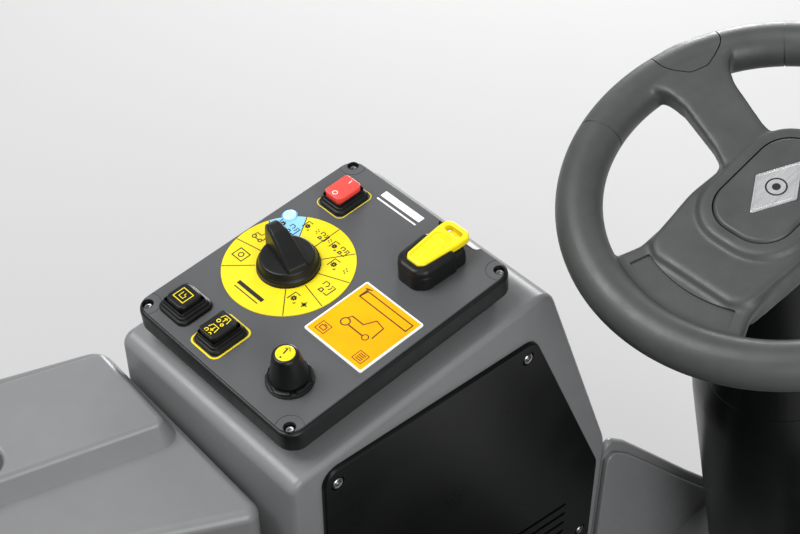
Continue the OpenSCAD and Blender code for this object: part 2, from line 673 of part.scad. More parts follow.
module fascia_outline() difference() {
    rr(panel_l - 2 * fascia_inset, panel_w - 2 * fascia_inset, panel_round - 3);
    screw_spots() circle(9.5, $fn = 48);
    screw_spots() square(1);
    for (su = [-1, 1], sv = [-1, 1]) translate([sv * (screw_v + 8), -su * (screw_u + 8)]) square(17, center = true);
    translate([panel_l / 2, -notch_u]) square([16, notch_w + 3], center = true);
    translate([dial_v, -dial_u]) circle(spindle_r + run_gap, $fn = 48);
    translate([info_v, -info_u]) circle(spindle_r + run_gap, $fn = 48);
}
module panel_fascia() color("#5b5d60") on_panel(0, 0, -fascia_t) linear_extrude(fascia_t) fascia_outline();
module panel_screws() color("#c9ccd0") on_panel() screw_spots() difference() {
    translate([0, 0, -7]) cylinder(r = 5, h = 4.5, $fn = 48);
    translate([0, 0, -4.5]) cylinder(r = 2.6, h = 4, $fn = 6);
}
module dial_plate() color("#ffe800") on_panel(dial_u, dial_v) linear_extrude(dial_t) difference() {
    circle(dial_r, $fn = 128);
    circle(dial_hole, $fn = 96);
    rotate([0, 0, led_a - 90]) translate([led_d, 0]) circle(led_r + 0.1, $fn = 48);
}
module led_window() color("#8fd0f5") on_panel(dial_u, dial_v) rotate([0, 0, led_a - 90]) translate([led_d, 0, 0]) {
    cylinder(r = led_r, h = 1.4, $fn = 48);
    translate([0, 0, 1.4 - eps]) cylinder(r1 = led_r, r2 = led_r - 1.4, h = 0.8, $fn = 48);
}
module boot(u, v, w, l, hole_w, hole_l) on_panel(u, v) difference() {
    union() {
        rblock(l, w, 4.5, 2.5);
        translate([0, 0, 4.5 - eps]) rblock(l - 5, w - 5, boot_h - 4.5, 2);
    }
    translate([0, 0, -1]) linear_extrude(boot_h + 2) square([hole_l, hole_w], center = true);
}
module switch_boots() color("#141516") {
    boot(power_u, power_v, 27.5, 34, rocker_w + 2 * key_gap, rocker_l + 2 * rocker_gap);
    boot(dir_u, dir_v, 27.5, 34, rocker_w + 2 * key_gap, rocker_l + 2 * rocker_gap);
    boot(horn_u, horn_v, 33, 33, horn_side + 2 * key_gap, horn_side + 2 * key_gap);
}
module rocker(u, v) on_panel(u, v) rotate([90, 0, 0]) translate([0, 0, -rocker_w / 2]) linear_extrude(rocker_w)
    polygon([[-rocker_l / 2, rocker_axis - 2], [rocker_l / 2, rocker_axis - 2], [rocker_l / 2, 13.6], [rocker_l / 4, 12.8],
        [-rocker_l / 4, 12.8], [-rocker_l / 2, 13.6]]);
module power_rocker() color("#e8443a") rocker(power_u, power_v);
module direction_rocker() color("#1b1c1d") rocker(dir_u, dir_v);
module horn_button() color("#1b1c1d") on_panel(horn_u, horn_v, 3.2) rblock(horn_side, horn_side, 9.4, 2);
module program_knob() color("#141516") on_panel(dial_u, dial_v) {
    translate([0, 0, -12]) cylinder(r = spindle_r, h = 14, $fn = 48);
    translate([0, 0, 1]) cylinder(r = knob_r, h = 5, $fn = 96);
    translate([0, 0, 6 - eps]) cylinder(r1 = knob_r - 0.5, r2 = knob_r - 4, h = 6, $fn = 96);
    rotate([0, 0, knob_aim - 90]) difference() {
        side(-9, 9) polygon([[-23, 10], [24, 10], [22, knob_h - 6], [14, knob_h], [4, knob_h - 1], [-8, 17], [-20, 13]]);
        for (s = [-1, 1]) translate([12, s * 9, 12]) rotate([-s * 12, 0, 0]) translate([-50, s > 0 ? 0 : -10, 0]) cube([100, 10, 40]);
    }
}
module info_base() color("#101112") on_panel(info_u, info_v) difference() {
    cylinder(r = info_r, h = 5, $fn = 96);
    translate([0, 0, -1]) cylinder(r = spindle_r + run_gap, h = 8, $fn = 48);
    for (i = [0 : 11]) rotate([0, 0, 30 * i]) translate([info_r + 0.6, 0, -1]) cylinder(r = 2, h = 8, $fn = 24);
}
module info_knob() color("#141516") on_panel(info_u, info_v) {
    translate([0, 0, -12]) cylinder(r = spindle_r, h = 18, $fn = 48);
    translate([0, 0, 5.4]) cylinder(r1 = 14.5, r2 = 10, h = info_h - 7.4, $fn = 96);
}
module info_cap() color("#ffe800") on_panel(info_u, info_v, info_h - 2 + 0.02) {
    cylinder(r = 9, h = 1.4, $fn = 64);
    translate([0, 0, 1.4 - eps]) cylinder(r1 = 9, r2 = 7, h = 0.9, $fn = 64);
}
module lcd_display() color("#ffc400") on_panel(lcd_u, lcd_v) rblock(lcd_w, lcd_w - 0.6, 1.2, 1.5);
tongue_w = 12;
tongue_t = 3;
module key_holder() color("#111213") on_panel(holder_u, holder_v) difference() {
    union() {
        rblock(holder_l, holder_w, holder_h, 9);
        for (s = [-1, 1]) translate([2, s * (holder_w / 2 - 2), holder_h - eps]) linear_extrude(2.6) rr(holder_l - 22, 3, 1.4);
    }
    translate([-8, -tongue_w / 2 - key_gap, 6 - key_gap]) cube([holder_l, tongue_w + 2 * key_gap, tongue_t + 2 * key_gap]);
}
key_l = 50;
module key_fob() color("#ffe800") on_panel(holder_u, holder_v) {
    difference() {
        translate([0, 0, holder_h + key_gap]) linear_extrude(6) polygon([[-19, -6], [-15, -9.5], [18, -13], [28, -13], [31.5, -8], [31.5, 8], [28, 13], [18, 13], [-15, 9.5], [-19, 6]]);
        translate([24, 0, holder_h - 1]) linear_extrude(10) rr(6, 16, 2.9);
    }
    translate([-7, -tongue_w / 2, 6]) cube([34, tongue_w, tongue_t]);
    translate([holder_l / 2 + 0.6, -tongue_w / 2, 6]) cube([3, tongue_w, holder_h + key_gap - 6 + eps]);
}

// ---- seat ----
hood_plan = [[hood_x1, -150], [hood_x1, 150], [-192, 222], [hood_x0 + 1, hood_hw], [hood_x0 + 1, -hood_hw], [-192, -222]];
hood_in = [[hood_x1 - wall, -146], [hood_x1 - wall, 146], [-193, 217], [hood_x0 + 1 + wall, hood_hw - wall], [hood_x0 + 1 + wall, -hood_hw + wall], [-193, -217]];
module seat_base() color("#6f7275") {
    difference() {
        translate([0, 0, rail_top]) linear_extrude(hood_z - rail_top) polygon(hood_plan);
        translate([0, 0, rail_top - 1]) linear_extrude(hood_z - wall - rail_top + 1) polygon(hood_in);
    }
    both() block(cushion_x0 + 6, cushion_x1 - 44, 128, 152, hood_z - eps, hood_z + slide_h);
}
battery_l = 100;
battery_w = 206;
battery_h = 236;
module battery_pack() color("#35383b") for (i = [0, 1], s = [-1, 1]) translate([cushion_x0 + 30 + i * (battery_l + 4), s * (battery_w / 2 + 2) - battery_w / 2, rail_top]) {
    cube([battery_l, battery_w, battery_h]);
    for (dx = [0.25, 0.75]) translate([battery_l * dx, battery_w / 2, battery_h - eps]) cylinder(r = 9, h = 12, $fn = 32);
}
cushion_plan = [[cushion_x0, -cushion_hw], [cushion_x1 - 120, -cushion_hw], [cushion_x1, -145], [cushion_x1, 145], [cushion_x1 - 120, cushion_hw], [cushion_x0, cushion_hw]];
module seat_pan() color("#1e2021") difference() {
    union() {
        translate([0, 0, pan_z]) linear_extrude(pan_t) polygon([for (p = cushion_plan) p + [0, sign(p[1]) * (p[0] < cushion_x1 - 1 ? 6 : -2)]]);
        both() {
            block(back_x - 22, back_x + 22, cushion_hw - 6, arm_y + arm_t, pan_z, pan_z + pan_t);
            block(back_x - 22, back_x + 22, arm_y, arm_y + arm_t, pan_z, back_pivot_z);
            across(back_x, back_pivot_z, arm_y, arm_y + arm_t, 22);
        }
    }
    both() across(back_x, back_pivot_z, arm_y - 1, arm_y + arm_t + 1, back_pin_r + run_gap);
}
module seat_cushion() color("#2a2b2d") translate([0, 0, cushion_z]) linear_extrude(cushion_t) polygon(cushion_plan);
module at_back() translate([back_x, 0, back_pivot_z]) rotate([0, -back_lean, 0]) children();
module backrest_shell() color("#1e2021") {
    at_back() {
        translate([-18, 0, 14]) rotate([0, -90, 0]) translate([back_h / 2, 0, 0]) rblock(back_h + 16, 2 * cushion_hw + 10, 12, 50);
        both() block(-24, 16, cushion_hw + 5 - 12, cushion_hw + 5, -12, 60);
    }
    both() across(back_x, back_pivot_z, cushion_hw - 2, arm_y + arm_t + 3, back_pin_r);
}
module backrest_cushion() color("#2a2b2d") at_back() translate([-18 + 58 + soft_gap, 0, 18]) rotate([0, -90, 0]) translate([back_h / 2 - 4, 0, 0])
    rblock(back_h - 8, 2 * cushion_hw - 16, 58, 44);

// ---- recovery tank ----
module recovery_tank() color("#6f7275") difference() {
    union() {
        block(tank_x0, tank_x1, -tank_hw, tank_hw, tank_z0, shoulder_z + 5);
        translate([squeegee_x, 0, tank_z0 - 20]) cylinder(r = hose_r + 8, h = 20 + eps);
        lid_pins();
    }
    block(tank_x0 + tank_wall, tank_x1 - tank_wall, -tank_hw + tank_wall, tank_hw - tank_wall, tank_z0 + tank_wall, big);
    translate([squeegee_x, 0, tank_z0 - 21]) cylinder(r = hose_r - 4, h = 60);
}
lid_hinge_x = tank_x0 - 6.5;
lid_hinge_z = lid_z - 6.6;
lid_barrel_r = 6;
lid_pin_r = 3;
lid_hinge_y = 275;
lid_barrel_l = 24;
module lid_pins() both() {
    across(lid_hinge_x, lid_hinge_z, lid_hinge_y - lid_barrel_l / 2 - 13, lid_hinge_y + lid_barrel_l / 2 + 13, lid_pin_r);
    for (s = [-1, 1]) translate([0, lid_hinge_y + s * (lid_barrel_l / 2 + 7), 0]) {
        across(lid_hinge_x, lid_hinge_z, -6, 6, lid_barrel_r);
        block(lid_hinge_x, tank_x0 + eps, -6, 6, lid_hinge_z - 12, lid_hinge_z);
    }
}
module tank_lid() color("#84878a") difference() {
    union() {
        block(tank_x0, tank_x1, -tank_hw, tank_hw, lid_z, lid_z + lid_h);
        both() {
            across(lid_hinge_x, lid_hinge_z, lid_hinge_y - lid_barrel_l / 2, lid_hinge_y + lid_barrel_l / 2, lid_barrel_r);
            block(lid_hinge_x - lid_barrel_r, tank_x0 + eps, lid_hinge_y - lid_barrel_l / 2, lid_hinge_y + lid_barrel_l / 2, lid_z, lid_z + 14);
            block(lid_hinge_x - lid_barrel_r, lid_hinge_x, lid_hinge_y - lid_barrel_l / 2, lid_hinge_y + lid_barrel_l / 2, lid_hinge_z, lid_z + 1);
        }
    }
    block(tank_x0 + wall, tank_x1 - wall, -tank_hw + wall, tank_hw - wall, lid_z - 1, lid_z + lid_h - wall);
    both() across(lid_hinge_x, lid_hinge_z, lid_hinge_y - lid_barrel_l, lid_hinge_y + lid_barrel_l, lid_pin_r + run_gap);
}
ring_n = 13;
hose_z1 = tank_z0 - 20 - 0.5;
hose_pitch = (hose_z1 - hose_z0 - 0.5) / ring_n;
module suction_hose() color("#202223") translate([squeegee_x, 0, hose_z0 + 0.5]) rotate_extrude() for (i = [0 : ring_n - 1]) translate([0, i * hose_pitch])
    polygon([[hose_r - 7, -eps / 2], [hose_r - 4, -eps / 2], [hose_r, hose_pitch * 0.3], [hose_r, hose_pitch * 0.7], [hose_r - 4, hose_pitch + eps / 2], [hose_r - 7, hose_pitch + eps / 2]]);

// ---- brush deck ----
motor_r = 38;
module brush_deck() color("#2b2d2f") difference() {
    union() {
        block(deck_x0, deck_x1, -deck_hw, deck_hw, deck_top - deck_t, deck_top);
        both() block(deck_x0, deck_x1, deck_hw - deck_t, deck_hw, 34, deck_top - eps);
        block(deck_x1 - deck_t, deck_x1, -deck_hw, deck_hw, 34, deck_top - eps);
        both() for (x = deck_post_x) translate([x, rail_y, deck_top - eps]) cylinder(r = deck_post_r, h = rail_z + 3 - deck_top);
        block(deck_x0 + 20, deck_x1 - 10, deck_hw - eps, deck_hw + 26, 46, deck_top - 20);
        across(deck_x1 + motor_r - 2, deck_top - motor_r - 6, 110, deck_hw, motor_r);
        block(deck_x1 - eps, deck_x1 + motor_r, 150, deck_hw, deck_top - motor_r - 20, deck_top - motor_r + 8);
        both() for (x = [rear_brush_x, front_brush_x]) across(x, brush_z, deck_hw - deck_t - 10, deck_hw - eps, 24);
    }
    for (x = [rear_brush_x, front_brush_x]) across(x, brush_z, -deck_hw - 1, deck_hw + 12, brush_shaft_r + run_gap);
}
brush_z = brush_r + floor_gap;
module brush(x) translate([x, 0, brush_z]) {
    across(0, 0, -deck_hw + 1, deck_hw + 6, brush_shaft_r);
    across(0, 0, -brush_l / 2, brush_l / 2, brush_r);
}
module front_brush() color("#d8b400") brush(front_brush_x);
module rear_brush() color("#d8b400") brush(rear_brush_x);

// ---- hopper ----
module hopper() color("#3b3e40") {
    difference() {
        block(hopper_x0, hopper_x1, -hopper_hw, hopper_hw, hopper_z, hopper_z + hopper_h);
        block(hopper_x0 + hopper_wall, hopper_x1 - hopper_wall, -hopper_hw + hopper_wall, hopper_hw - hopper_wall, hopper_z + hopper_wall, big);
    }
    block(hopper_x0 - flange_w, hopper_x0 + eps, -hopper_hw, hopper_hw, hopper_z + hopper_h - flange_t + 4 - 0.5, hopper_z + hopper_h + 4 - 0.5);
    block(hopper_x1 - eps, hopper_x1 + flange_w - 2, -hopper_hw, hopper_hw, hopper_z + hopper_h - flange_t + 4 - 0.5, hopper_z + hopper_h + 4 - 0.5);
    block(hopper_x0 - flange_w, hopper_x1 + flange_w - 2, -hopper_hw - 4, -hopper_hw + eps, hopper_z, hopper_z + hopper_h + 3.5);
    for (x = [hopper_x0 + 20, hopper_x1 - 32]) block(x, x + 12, -hopper_hw - 34, -hopper_hw - 4 + eps, hopper_z + 86, hopper_z + 98);
    translate([hopper_x0 + 20, -hopper_hw - 34, hopper_z + 92]) rotate([0, 90, 0]) cylinder(r = 6, h = hopper_l - 40, $fn = 32);
}

// ---- side broom ----
module broom_arm() color("#2b2d2f") difference() {
    union() {
        across(broom_pivot_x, broom_pivot_z, -broom_lug_y[1] + 1, -broom_lug_y[0] - lug_t - 1, 14);
        rod([broom_pivot_x + 4, -broom_y + 30, broom_pivot_z - 2], [broom_x - 10, -broom_y + 10, 156], 13);
        translate([broom_x, -broom_y, 96]) cylinder(r = broom_motor_r, h = 66);
        translate([broom_x, -broom_y, 162 - eps]) cylinder(r1 = broom_motor_r, r2 = 30, h = 10);
    }
    across(broom_pivot_x, broom_pivot_z, -broom_y - 100, -broom_y + 100, broom_pin_r + run_gap);
    translate([broom_x, -broom_y, 90]) cylinder(r = 10 + run_gap, h = 26);
}
module side_broom() color("#3a3c3e") translate([broom_x, -broom_y, 0]) {
    translate([0, 0, broom_hub_z - 2]) cylinder(r = 72, h = 16);
    translate([0, 0, broom_hub_z]) cylinder(r = 10, h = 38);
    rotate_extrude($fn = 96) polygon([[56, broom_hub_z - 2 + eps], [71, broom_hub_z - 2 + eps], [broom_r, 6], [broom_r - 2, floor_gap], [broom_r - 52, floor_gap]]);
}

// ---- squeegee ----
module arc_strip(r, w, z0, h, a) translate([squeegee_c, 0, z0]) rotate([0, 0, 180 - a]) rotate_extrude(angle = 2 * a, $fn = 256)
    translate([r - w / 2, 0]) square([w, h]);
module squeegee() color("#26282a") difference() {
    union() {
        arc_strip(squeegee_arc_r, squeegee_w, squeegee_z, squeegee_h, squeegee_a);
        for (s = [-1, 1]) arc_strip(squeegee_arc_r + s * (squeegee_w / 2 - 5), blade_t, 0.2, squeegee_z, squeegee_a);
        both() {
            translate([squeegee_post_x, squeegee_post_y, squeegee_z + 2]) cylinder(r = squeegee_post_r, h = rail_z + 20 - squeegee_z - 2);
            translate([squeegee_c - sqrt(pow(squeegee_arc_r, 2) - pow(squeegee_end_y, 2)), squeegee_end_y, squeegee_z - 2]) {
                cylinder(r = 22, h = squeegee_h - 6);
                cylinder(r = 8, h = squeegee_h + 4);
            }
        }
        translate([squeegee_x, 0, squeegee_z + squeegee_h - eps]) cylinder(r = hose_r - 2, h = nozzle_h);
    }
    translate([squeegee_x, 0, squeegee_z - 1]) cylinder(r = hose_r - 8, h = 100);
}

chassis_frame();
rear_axle();
floor_pan();
union() { floor_mat(); }
pedal_mount();
left_tank();
right_tank();
console_body();
console_cover();
cover_screws();
nose_cowl();
front_bumper();
headlights();
panel_housing();
panel_fascia();
panel_screws();
dial_plate();
led_window();
switch_boots();
info_base();
lcd_display();
key_holder();
steering_tower();
steering_gearbox();
seat_base();
battery_pack();
recovery_tank();
suction_hose();
steering_wheel();
hub_cover();
steering_shaft();
front_fork();
front_tyre();
front_hub();
rear_tyre_left();
rear_hub_left();
rear_tyre_right();
rear_hub_right();
program_knob();
info_knob();
info_cap();
power_rocker();
direction_rocker();
horn_button();
key_fob();
accelerator_pedal();
brake_pedal();
seat_pan();
seat_cushion();
backrest_shell();
backrest_cushion();
tank_lid();
filler_cap();
brush_deck();
front_brush();
rear_brush();
hopper();
broom_arm();
side_broom();
squeegee();
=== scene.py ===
"""A ride on floor sweeper, dressed piece by piece on its solid model."""

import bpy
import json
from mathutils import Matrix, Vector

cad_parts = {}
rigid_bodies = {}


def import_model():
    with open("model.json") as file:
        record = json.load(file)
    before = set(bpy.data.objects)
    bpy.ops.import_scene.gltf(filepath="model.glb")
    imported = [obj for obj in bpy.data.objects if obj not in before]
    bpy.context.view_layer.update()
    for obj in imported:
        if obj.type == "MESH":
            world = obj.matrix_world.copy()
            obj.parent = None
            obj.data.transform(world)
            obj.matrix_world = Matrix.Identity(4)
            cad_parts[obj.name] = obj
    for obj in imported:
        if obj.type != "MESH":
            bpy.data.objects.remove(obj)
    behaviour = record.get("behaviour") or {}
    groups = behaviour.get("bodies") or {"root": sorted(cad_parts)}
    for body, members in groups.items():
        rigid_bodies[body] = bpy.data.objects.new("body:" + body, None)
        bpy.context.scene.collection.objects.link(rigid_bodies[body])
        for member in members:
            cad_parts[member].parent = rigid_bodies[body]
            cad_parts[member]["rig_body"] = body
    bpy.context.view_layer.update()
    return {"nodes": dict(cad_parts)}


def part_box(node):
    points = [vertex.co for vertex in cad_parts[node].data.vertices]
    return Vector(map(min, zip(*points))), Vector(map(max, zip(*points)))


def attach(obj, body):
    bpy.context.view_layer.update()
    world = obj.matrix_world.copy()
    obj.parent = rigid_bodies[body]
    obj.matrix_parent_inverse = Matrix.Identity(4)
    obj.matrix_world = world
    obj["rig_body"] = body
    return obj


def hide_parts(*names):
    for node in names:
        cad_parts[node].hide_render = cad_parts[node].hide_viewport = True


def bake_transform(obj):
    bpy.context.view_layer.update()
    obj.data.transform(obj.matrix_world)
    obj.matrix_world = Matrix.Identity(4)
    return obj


bl_info = {
    "name": "Ride On Sweeper",
    "version": (1, 0, 0),
    "blender": (4, 5, 0),
    "location": "View3D > Sidebar > Sweeper",
    "description": "Builds the covers, controls, seat, wheels and brushes of a ride on sweeper",
    "category": "Object",
}

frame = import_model()

import json
from math import atan2, cos, hypot, pi, radians, sin, tau

import bmesh
import bpy
from bpy.props import FloatProperty, FloatVectorProperty, IntProperty, PointerProperty
from mathutils import Matrix, Vector

NODES = frame["nodes"]
MM = 0.001  # every outline below is written in millimetres


def linear(code):
    """An sRGB hex colour as linear red, green, blue."""
    values = [int(code[i:i + 2], 16) / 255 for i in (1, 3, 5)]
    return [v / 12.92 if v <= 0.04045 else ((v + 0.055) / 1.055) ** 2.4 for v in values]


def offset_by(x, y=0.0, z=0.0):
    """A place moved along the axes."""
    return Matrix.Translation((x, y, z))


def turned(degrees, axis="Z"):
    """A place turned about one axis."""
    return Matrix.Rotation(radians(degrees), 4, axis)


def tilted(x, y, z, degrees):
    """A place whose own x axis rises forward by some degrees."""
    return offset_by(x, y, z) @ turned(-degrees, "Y")


PANEL = tilted(140, 210, 870, 5)        # x forward, y to the left, z out of the panel's face
HELM = tilted(402, 0, 942, 16)          # x forward, y to the left, z along the steering column
BACKREST = tilted(-440, 0, 707.9, 8)    # z up the leaning back
LEVEL = Matrix.Identity(4)
PANEL_LENGTH, PANEL_WIDTH = 224, 184    # outline of the panel housing
RING_RADIUS, GRIP_RADIUS = 147, 18      # steering wheel: middle line of its ring, half of the ring's thickness


# ---- sizes and colours that a user changes ----

def tint(name, description, code):
    return FloatVectorProperty(name=name, description=description, subtype="COLOR", default=linear(code), min=0, max=1)


def measure(name, description, default, low, high):
    return FloatProperty(name=name, description=description, default=default, min=low, max=high, unit="LENGTH")


def number(name, description, default, low, high):
    return IntProperty(name=name, description=description, default=default, min=low, max=high)


class SweeperColours(bpy.types.PropertyGroup):
    """Colours of the mouldings, the panel's inks and the soft parts"""
    shell: tint("Covers", "Rotomoulded covers and tanks", "#78797A")
    black: tint("Black parts", "Injection moulded housings and knobs", "#121313")
    fascia: tint("Panel face", "Film on the control panel", "#4C4D4F")
    signal: tint("Yellow", "Dial, key and markings", "#EDD600")
    eco: tint("Light blue", "Economy sector of the dial", "#8CCBF0")
    red: tint("Red", "Power rocker", "#EE4B42")
    amber: tint("Display", "Backlight of the display", "#EDA600")
    helm: tint("Steering wheel", "Foamed grip of the wheel", "#3E4140")
    vinyl: tint("Seat", "Coated seat cloth", "#232426")
    bristle: tint("Bristles", "Roller brush bristles", "#C9A514")


class SweeperSizes(bpy.types.PropertyGroup):
    """Sizes of the details that sit on the solid model"""
    shell_edge: measure("Cover edge", "Rounding of the rotomoulded edges", 0.0085, 0.004, 0.02)
    housing_edge: measure("Housing edge", "Rounding of the panel housing", 0.0026, 0.0005, 0.004)
    dial_line: measure("Dial line", "Width of the lines printed on the dial", 0.0007, 0.0003, 0.0012)
    grip_seam: measure("Grip seam", "Depth of the seams in the wheel's rim", 0.0009, 0.0, 0.002)
    louvres: number("Louvres", "Blades behind the slots of the service cover", 6, 3, 6)
    tread_blocks: number("Tread blocks", "Blocks round one tyre", 48, 24, 72)
    tuft_rows: number("Tuft rows", "Rows of tufts round a roller brush", 18, 8, 28)
    broom_tufts: number("Broom tufts", "Tufts round the side broom", 44, 24, 60)
    cushion_swell: measure("Cushion swell", "How far the foam may push the cover out", 0.014, 0.004, 0.02)


# ---- materials ----


def add(tree, kind, inputs=None, **settings):
    """Adds a node: inputs are values or sockets by name, settings are the node's own options."""
    made = tree.nodes.new(kind)
    for key, value in settings.items():
        setattr(made, key, value)
    for key, value in (inputs or {}).items():
        if isinstance(value, bpy.types.NodeSocket):
            tree.links.new(value, made.inputs[key])
        else:
            made.inputs[key].default_value = value
    return made


def finish_of(name, colour, rough, grain=0.8, depth=0.02, spread=0.06, mottle=0.05, mottle_size=60, metallic=0.0,
              wear=None, wear_size=9, wear_amount=0.0, stretch=(1, 1, 1), rough_size=14, crater=False, coat=0.0,
              sheen=0.0, alpha=1.0, transmission=0.0, glow=0.0, specular=0.5, subsurface=0.0):
    """A material from its real surface: grain, mottle and scuff sizes and depths are in millimetres."""
    if name in bpy.data.materials:
        return bpy.data.materials[name]
    material = bpy.data.materials.new(name)
    material.use_nodes = True
    tree = material.node_tree
    tree.nodes.clear()
    place = add(tree, "ShaderNodeTexCoord")
    scaled = add(tree, "ShaderNodeMapping", {"Vector": place.outputs["Object"], "Scale": stretch})
    here = scaled.outputs["Vector"]
    base = (*colour, 1.0)
    darker = (*[c * (1 - 3.2 * mottle) for c in colour], 1.0)
    lighter = (*[min(1, c * (1 + 2.2 * mottle) + 0.004 * mottle) for c in colour], 1.0)
    cloud = add(tree, "ShaderNodeTexNoise", {"Vector": here, "Scale": 1 / (mottle_size * MM), "Detail": 4.0,
                                             "Roughness": 0.6})
    shade = add(tree, "ShaderNodeValToRGB", {"Fac": cloud.outputs["Fac"]})
    shade.color_ramp.elements[0].position, shade.color_ramp.elements[0].color = 0.3, darker
    shade.color_ramp.elements[1].position, shade.color_ramp.elements[1].color = 0.72, lighter
    middle = shade.color_ramp.elements.new(0.5)
    middle.color = base
    colour_out = shade.outputs["Color"]
    patch = add(tree, "ShaderNodeTexNoise", {"Vector": here, "Scale": 1 / (rough_size * MM), "Detail": 5.0,
                                             "Roughness": 0.65})
    roughness = add(tree, "ShaderNodeMapRange", {"Value": patch.outputs["Fac"], "From Min": 0.3, "From Max": 0.7,
                                                 "To Min": max(0.02, rough - spread), "To Max": min(1, rough + spread)})
    if wear is not None:
        scuff = add(tree, "ShaderNodeTexNoise", {"Vector": here, "Scale": 1 / (wear_size * MM), "Detail": 8.0,
                                                 "Roughness": 0.75,
                                                 "Distortion": 0.6})
        mask = add(tree, "ShaderNodeMapRange", {"Value": scuff.outputs["Fac"], "From Min": 0.6, "From Max": 0.78,
                                                "To Min": 0.0, "To Max": wear_amount})
        worn = add(tree, "ShaderNodeMix", {"Factor": mask.outputs["Result"], 6: colour_out, 7: (*wear, 1.0)},
                   data_type="RGBA")
        colour_out = worn.outputs[2]
    if crater:
        cells = add(tree, "ShaderNodeTexVoronoi", {"Vector": here, "Scale": 1 / (grain * MM)}, feature="SMOOTH_F1")
        height = cells.outputs["Distance"]
    else:
        fine = add(tree, "ShaderNodeTexNoise", {"Vector": here, "Scale": 1 / (grain * MM), "Detail": 2.0,
                                                "Roughness": 0.5})
        height = fine.outputs["Fac"]
    bump = add(tree, "ShaderNodeBump", {"Height": height, "Strength": 1.0, "Distance": depth * MM})
    shader = add(tree, "ShaderNodeBsdfPrincipled", {
        "Base Color": colour_out, "Roughness": roughness.outputs["Result"], "Normal": bump.outputs["Normal"],
        "Metallic": metallic, "Coat Weight": coat, "Sheen Weight": sheen, "Transmission Weight": transmission,
        "Alpha": alpha, "Specular IOR Level": specular, "Subsurface Weight": subsurface})
    if coat:
        shader.inputs["Coat Roughness"].default_value = 0.12
    if sheen:
        shader.inputs["Sheen Roughness"].default_value = 0.45
    if glow:
        shader.inputs["Emission Color"].default_value = base
        shader.inputs["Emission Strength"].default_value = glow
    out = add(tree, "ShaderNodeOutputMaterial", {"Surface": shader.outputs["BSDF"]})
    out.target = "ALL"
    material.diffuse_color = base
    return material


